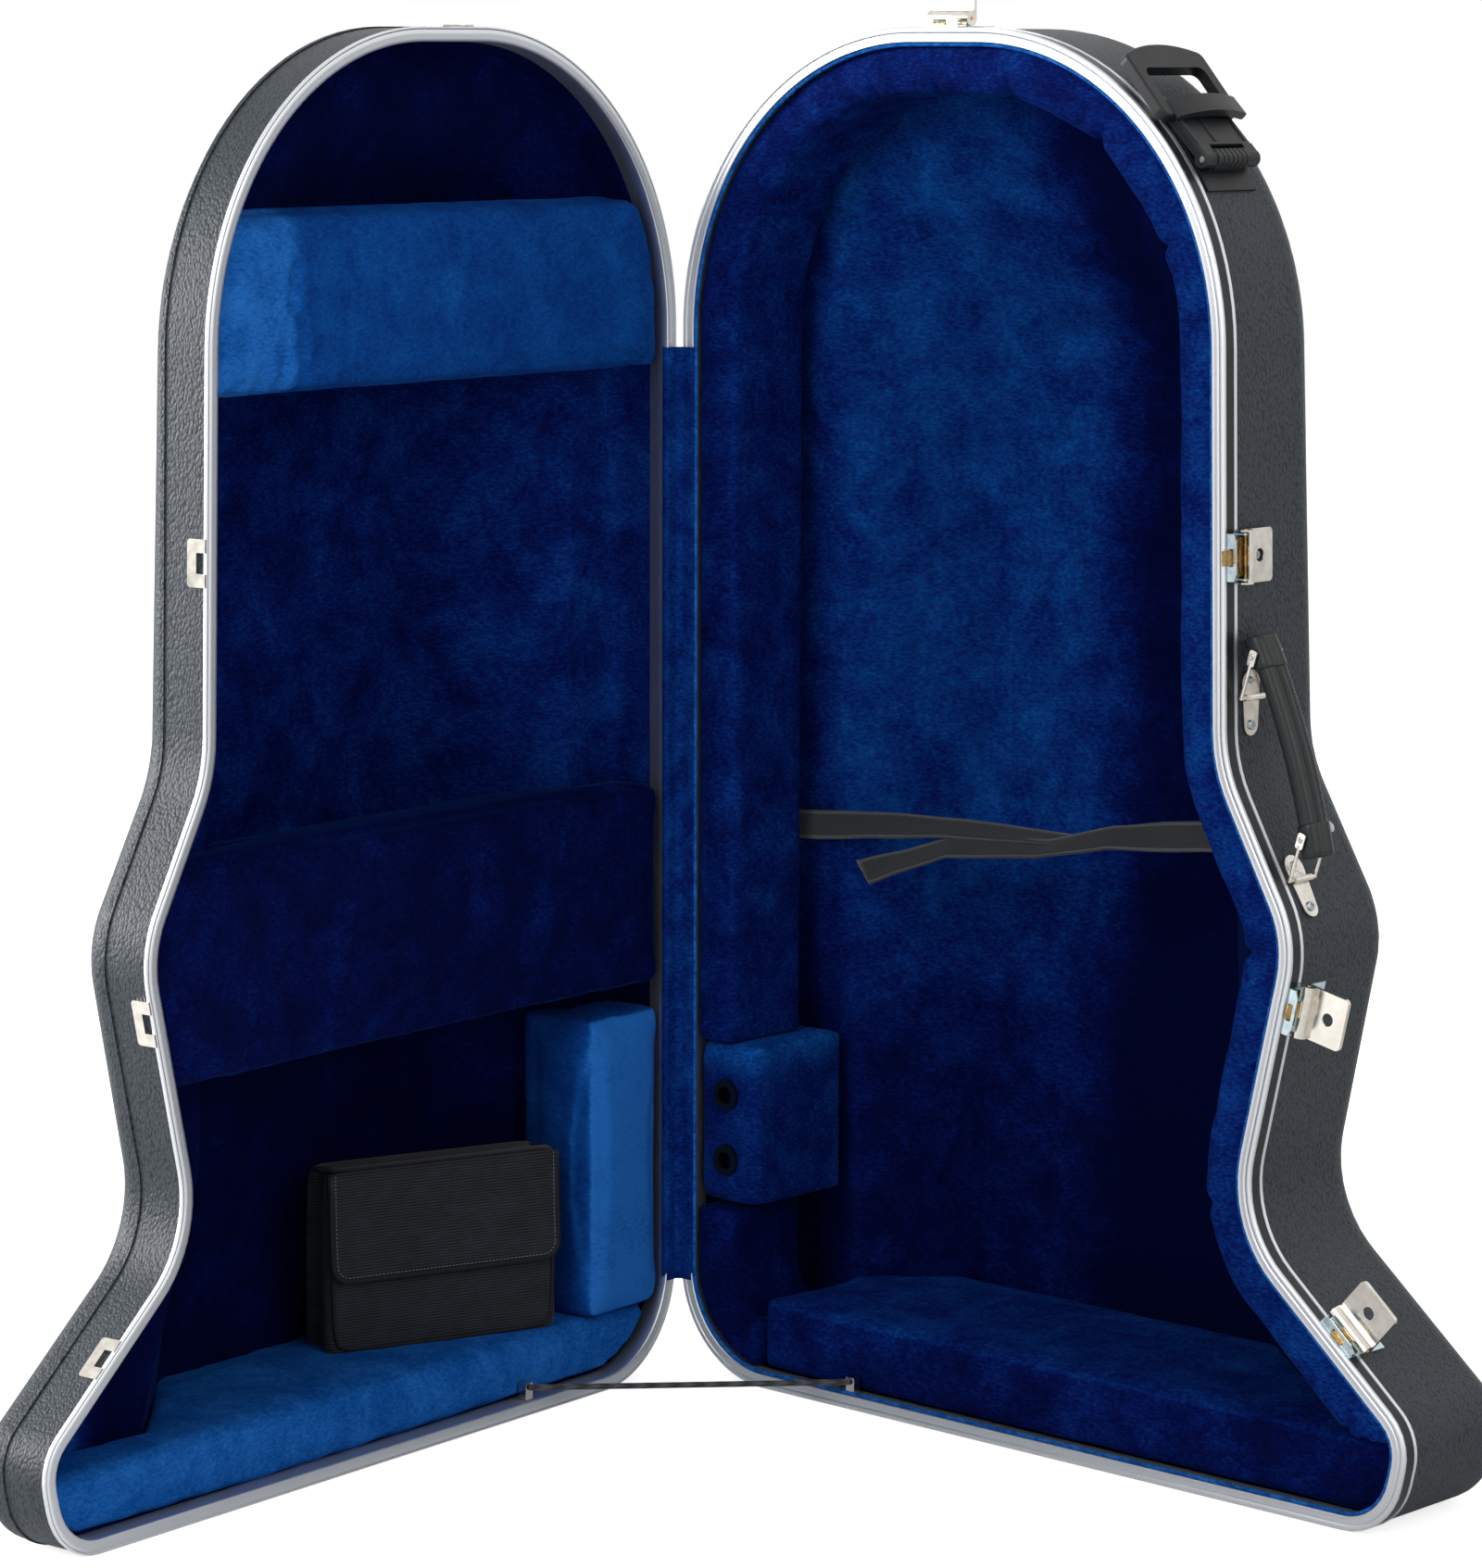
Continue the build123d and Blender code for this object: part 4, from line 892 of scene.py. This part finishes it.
def stitches(form, points, pitch, size):
    """A row of sunk stitches along points: small beads a pitch apart."""
    travelled = 0.0
    for a, b in zip(points, points[1:]):
        run = (b - a).length
        while travelled < run:
            spot = a.lerp(b, travelled / run)
            turn = (b - a).to_track_quat("X", "Z").to_matrix().to_4x4()
            place = Matrix.Translation(spot) @ turn @ Matrix.Diagonal((size, size * 0.38, size * 0.38, 1))
            bmesh.ops.create_icosphere(form, subdivisions=1, radius=1.0, matrix=place)
            travelled += pitch
        travelled -= run


FLAP_LOW, FLAP_TOP, FLAP_FACE, FLAP_CORNER = POUCH_HEIGHT - FLAP_DROP - 2, POUCH_HEIGHT - 2, 1.9, 16.0
FLAP_STRAIGHT, BOW, CORNER_LIFT = 45, 3.4, 2.2


def flap_edge(inset, forward):
    """Points down one side of the flap, round its two lower corners and up the other side."""
    near, far = 1 + inset, POUCH_WIDTH - 1 - inset
    points = [Vector((near, forward, FLAP_TOP - 1)), Vector((near, forward, FLAP_LOW + FLAP_STRAIGHT))]
    radius = FLAP_CORNER - inset
    for cx, start in ((1 + FLAP_CORNER, 180), (POUCH_WIDTH - 1 - FLAP_CORNER, 270)):
        for k in range(7):
            angle = math.radians(start + 15 * k)
            height = FLAP_LOW + FLAP_CORNER + radius * math.sin(angle)
            points.append(Vector((cx + radius * math.cos(angle), forward, height)))
    points += [Vector((far, forward, FLAP_LOW + FLAP_STRAIGHT)), Vector((far, forward, FLAP_TOP - 1))]
    return points


def hang(point):
    """The flap's own shape: it bows out a little and its lower corners turn up."""
    drop = max(0.0, FLAP_TOP - point.z) / FLAP_DROP
    side = abs(point.x / POUCH_WIDTH - 0.5) * 2
    bow = BOW * drop * (1 - 0.4 * side) + CORNER_LIFT * drop * drop * side
    return point + Vector((0, bow + 0.4 * ruffled(point, 40, 10), 0))


def finish_on_pouch(form, *rest, **more):
    """Sets a form drawn in the pouch's own frame in its place, and makes its piece."""
    bmesh.ops.transform(form, matrix=POUCH, verts=form.verts)
    return finish_piece(form, *rest, **more)


form = copy_of("pouch_flap")
bmesh.ops.transform(form, matrix=POUCH.inverted(), verts=form.verts)
divide_long_edges(form, 0.012)
for vertex in form.verts:
    vertex.co = hang(vertex.co / MM) * MM
finish_on_pouch(form, "pouch_flap_cloth", pouch_cloth, "pouch_flap", "pouch_cloth", ["pouch_flap"])
form = bmesh.new()
tube(form, [hang(p) * MM for p in flap_edge(1.6, FLAP_FACE)], 2.7 * MM, 0.95)
finish_on_pouch(form, "pouch_flap_binding", tape, "pouch_flap", "pouch_cloth", levels=1)
form = bmesh.new()
stitches(form, [hang(p) * MM for p in flap_edge(5.2, FLAP_FACE + 1.55)], 3.4 * MM, 1.25 * MM)
finish_on_pouch(form, "pouch_flap_stitching", thread, "pouch_flap", "pouch_cloth")
FRONT_SEAM = [(6, 145), (5, 100), (5, 20), (9, 6), (18, 3), (196, 3), (205, 6), (209, 20), (209, 100),
              (208, 145)]
TOP_SEAM = [(10, -3.2), (204, -3.2), (209, -8), (209, -42), (204, -46.5), (10, -46.5), (5, -42), (5, -8)]
form = bmesh.new()
tube(form, [Vector((x, -0.4, z)) * MM for x, z in FRONT_SEAM], 2.0 * MM, 0.9)
tube(form, [Vector((x, y, 151.5)) * MM for x, y in TOP_SEAM], 1.9 * MM, 1.0, closed=True)
finish_on_pouch(form, "pouch_bag_binding", tape, "lid", "pouch_cloth", levels=1)

# The flap's hinge: the bag's own cloth turned over its top edge.
OVER_EDGE = [(-14, 156.2), (-7, 156.6), (-1.5, 156.4), (1.6, 155.2), (2.9, 152.5), (3.1, 148)]
form = bmesh.new()
ribbon(form, [Vector((6, y, z)) * MM for y, z in OVER_EDGE], (0.0101, 0, 0), 20)
fold = finish_on_pouch(form, "pouch_flap_fold", pouch_cloth, None, "pouch_cloth")
thicken(fold, 0.0009)
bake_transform(fold)

# Metal fittings. Nickel plate on steel: bright, slightly warm, lightly worn. Blue-white
# zinc on the latches' base plates, and yellow-passivated zinc on their moving inner parts.


def plated(name, dark, light, low, high, scale):
    """A plated steel whose gloss and colour vary a little over the surface."""
    material, tree, place, out = start_surface(name)
    haze = speckle(tree, place, scale, 4.0)
    coat(tree, out, {"Base Color": two_tone(tree, haze, dark, light, 0.3, 0.7), "Metallic": 1.0,
                     "Roughness": between(tree, haze, low, high)})
    return material


nickel = plated("bright_nickel_plate", "#cfc9bf", "#e6e1d8", 0.12, 0.26, 120.0)
zinc = plated("blue_white_zinc_plate", "#a9bcc4", "#d6e6ea", 0.16, 0.34, 150.0)
yellow_zinc = plated("yellow_passivated_zinc", "#a07a34", "#e0bf86", 0.16, 0.34, 220.0)
steel = plated("zinc_screw_steel", "#8f959b", "#c4c9ce", 0.2, 0.4, 300.0)
dress([n for n in nodes if n.startswith("latch_lever")], nickel)
dress([n for n in nodes if n.startswith("latch_claw")] + ["latch_pins"], yellow_zinc)
dress(["latch_plates"], zinc)
dress(["latch_keepers", "handle_plates", "handle_link_upper", "handle_link_lower", "cord_anchor_base",
       "cord_anchor_lid"], nickel)
dress(["latch_screws", "handle_screws", "strap_rivet", "handle_rivets", "tow_pin", "hinge_leaf_base",
       "hinge_leaf_lid", "hinge_pin"], steel)

# Carrying handle: a moulded grip in black leather cloth, with three lobes along its back
# and a row of stitches on one, and a sleeve of the same cloth over each end.
UPPER_EYE, LOWER_EYE = Vector((592.135, 0, 669.084)), Vector((641.713, 0, 531.647))
HANDLE_MIDDLE, GRIP_OVERHANG, GRIP_HALF, GRIP_THIN, GRIP_BOW = 34.0, 14.0, 12.8, 7.5, 6.0
GRIP_LENGTH = (LOWER_EYE - UPPER_EYE).length
GRIP_ALONG = (LOWER_EYE - UPPER_EYE).normalized()
GRIP_OUT = Vector((-GRIP_ALONG.z, 0, GRIP_ALONG.x))
handle_cloth, tree, place, out = start_surface("black_leather_cloth")
pores = add_node(tree, "TexVoronoi", {"Vector": place, "Scale": 900.0})
creased = speckle(tree, place, 120.0, 5.0)
height = add_node(tree, "Math", {0: pores.outputs["Distance"], 1: creased}, operation="ADD").outputs[0]
coat(tree, out, {"Base Color": linear("#121517"), "Roughness": between(tree, creased, 0.3, 0.48),
                 "Specular IOR Level": 0.4, "Normal": relief(tree, height, 0.25, 0.0003)})


def grip_spot(along, bow):
    """The grip's middle line: how far along from the upper eye, bowed out of the case."""
    share = (along + GRIP_OVERHANG) / (GRIP_LENGTH + 2 * GRIP_OVERHANG)
    out_by = bow * 4 * share * (1 - share)
    return UPPER_EYE + GRIP_ALONG * along + GRIP_OUT * out_by


SECTION_POINTS, SQUARENESS, CROWN, GROOVE_HALF = 48, 0.62, 0.9, 1.05


def lobed_section(along, thin, half, grooves):
    """A loop round the grip: flat inside, and lobes between grooves outside."""
    middle = grip_spot(along, GRIP_BOW)
    loop = []
    for k in range(SECTION_POINTS):
        angle = 2 * math.pi * k / SECTION_POINTS
        c, s = math.cos(angle), math.sin(angle)
        aside = half * math.copysign(abs(c) ** SQUARENESS, c)
        rise = thin * math.copysign(abs(s) ** SQUARENESS, s)
        if s > 0:
            rise += CROWN * (1 - (aside / half) ** 2)
            for groove, depth in grooves:
                rise -= depth * math.exp(-((aside - groove) / GROOVE_HALF) ** 2)
        loop.append((middle + GRIP_OUT * rise + Vector((0, HANDLE_MIDDLE + aside, 0))) * MM)
    return loop


def lobed_bar(start, end, thin, half, grooves, rounding):
    """A lobed bar between two places along the grip, with rounded ends."""
    form = bmesh.new()
    loops = []
    steps = max(6, round((end - start) / 5))
    stops = [start + (end - start) * k / steps for k in range(steps + 1)]
    stops += [start + rounding * 0.3, start + rounding * 0.7, end - rounding * 0.7, end - rounding * 0.3]
    for along in sorted(set(stops)):
        edge = min(along - start, end - along)
        pull = rounding * (1 - math.sqrt(max(0.0, 1 - (1 - min(edge / rounding, 1.0)) ** 2)))
        loops.append(lobed_section(along, thin - pull, half - pull, grooves))
    sweep(form, loops, closed=False)
    return form


GROOVES = [(-3.2, 2.4), (4.6, 2.4)]
SLEEVE, SLEEVE_CLOTH, SLEEVE_LIP, STITCHES, STITCH_LINE = 25.0, 1.3, 1.6, 60, 8.8
GRIP_START, GRIP_END = -GRIP_OVERHANG, GRIP_LENGTH + GRIP_OVERHANG
bar = lobed_bar(GRIP_START, GRIP_END, GRIP_THIN, GRIP_HALF, GROOVES, 3.0)
finish_piece(bar, "handle_grip_leather", handle_cloth, "handle_grip", "grip_leather", ["handle_grip"])
shallow = [(groove, 1.7) for groove, _ in GROOVES]
for name, start, end, collars in (
        ("handle_sleeve_upper", GRIP_START - SLEEVE_LIP, GRIP_START + SLEEVE, ["handle_collars"]),
        ("handle_sleeve_lower", GRIP_END - SLEEVE, GRIP_END + SLEEVE_LIP, [])):
    form = lobed_bar(start, end, GRIP_THIN + SLEEVE_CLOTH, GRIP_HALF + SLEEVE_CLOTH, shallow, SLEEVE_LIP)
    finish_piece(form, name, handle_cloth, "handle_grip", "grip_leather", collars)
form = bmesh.new()
seam = []
for k in range(STITCHES):
    along = SLEEVE - GRIP_OVERHANG + 2
    along += (GRIP_LENGTH + 2 * GRIP_OVERHANG - 2 * SLEEVE - 4) * k / (STITCHES - 1)
    on_back = GRIP_OUT * (GRIP_THIN + 0.15) + Vector((0, HANDLE_MIDDLE + STITCH_LINE, 0))
    seam.append((grip_spot(along, GRIP_BOW) + on_back) * MM)
stitches(form, seam, 3.6 * MM, 1.3 * MM)
finish_piece(form, "handle_grip_stitching", thread, "handle_grip", "grip_leather")
form = bmesh.new()
for eye in (UPPER_EYE, LOWER_EYE):
    for side in (-1, 1):
        spot = (eye + Vector((0, HANDLE_MIDDLE + side * 17.1, 0))) * MM
        place = Matrix.Translation(spot) @ Matrix.Rotation(math.radians(-90 * side), 4, "X")
        ring = bmesh.ops.create_cone(form, cap_ends=True, segments=20, radius1=2.6 * MM,
                                     radius2=2.2 * MM, depth=0.7 * MM, matrix=place)
        caps = {f for v in ring["verts"] for f in v.link_faces}
        top = max(caps, key=lambda f: side * f.calc_center_median().y)
        bmesh.ops.inset_individual(form, faces=[top], thickness=0.9 * MM, depth=0.0)
        bmesh.ops.inset_individual(form, faces=[top], thickness=0.3 * MM, depth=-0.5 * MM)
finish_piece(form, "handle_eyelets", nickel, "handle_grip", "fitting_nickel")

# Pull handle: a glass-filled nylon moulding with a fine spark-eroded grain. The loop turns
# on a pin, over a ribbed knuckle, and its panel has three raised lines.
TOW_PIN = Vector((533.758, 0, 1049.296))
SLANT = math.sqrt(0.5)
HANDLE_ALONG, HANDLE_OUT = Vector((-SLANT, 0, SLANT)), Vector((SLANT, 0, SLANT))
nylon, tree, place, out = start_surface("black_nylon_moulding")
spark = speckle(tree, place, 1100.0, 3.0)
rub = speckle(tree, place, 30.0, 4.0)
coat(tree, out, {"Base Color": linear("#121417"), "Roughness": between(tree, rub, 0.36, 0.52),
                 "Specular IOR Level": 0.35, "Normal": relief(tree, spark, 0.35, 0.0003)})
dress(["tow_handle", "tow_bracket"], nylon)
PANEL_FACE, BAR_SLOPE = 5.0, 0.3


def on_handle(along, depth, outwards):
    """A place on the pull handle, in metres."""
    return (TOW_PIN + HANDLE_ALONG * along + HANDLE_OUT * outwards + Vector((0, depth, 0))) * MM


def raised_bar(form, start, end, width, height):
    """A low bar with sloping sides between two places (along, depth) on the panel."""
    a, b = on_handle(*start, PANEL_FACE), on_handle(*end, PANEL_FACE)
    run = (b - a).normalized()
    aside = HANDLE_OUT.cross(run)
    side = width / 2
    section = ((-side, -0.3), (-side + BAR_SLOPE, height), (side - BAR_SLOPE, height), (side, -0.3))
    sweep(form, [[spot + (aside * x + HANDLE_OUT * z) * MM for x, z in section] for spot in (a, b)],
          closed=False)


form = bmesh.new()
for depth, width in ((21.5, 3.4), (45.0, 2.2), (82.5, 3.4)):
    raised_bar(form, (10.5, depth), (38.0, depth), width, 1.1)
raised_bar(form, (11.2, 20.0), (11.2, 84.0), 3.0, 1.2)
finish_piece(form, "tow_handle_panel_lines", nylon, "tow_handle", "pull_plastic", flat=True)
form = bmesh.new()
RIBS, NEAR, FAR, VALLEY_RADIUS, RIB_RADIUS, KNUCKLE_SIDES = 7, 31.6, 72.4, 6.3, 7.4, 28
pitch = (FAR - NEAR) / RIBS
profile = []
for k in range(RIBS):
    low = NEAR + k * pitch
    profile += [(low + 0.4, VALLEY_RADIUS), (low + 1.2, RIB_RADIUS), (low + pitch - 1.2, RIB_RADIUS),
                (low + pitch - 0.4, VALLEY_RADIUS)]
loops = []
for depth, radius in profile:
    ring = []
    for n in range(KNUCKLE_SIDES):
        angle = 2 * math.pi * n / KNUCKLE_SIDES
        square = radius * min(1.12, 1 / max(abs(math.cos(angle)), abs(math.sin(angle))))
        outwards = min(square * math.sin(angle), RIB_RADIUS)
        ring.append(on_handle(square * math.cos(angle), depth, outwards))
    loops.append(ring)
sweep(form, loops, closed=False)
finish_piece(form, "tow_handle_ribbed_knuckle", nylon, "tow_handle", "pull_plastic", flat=True)

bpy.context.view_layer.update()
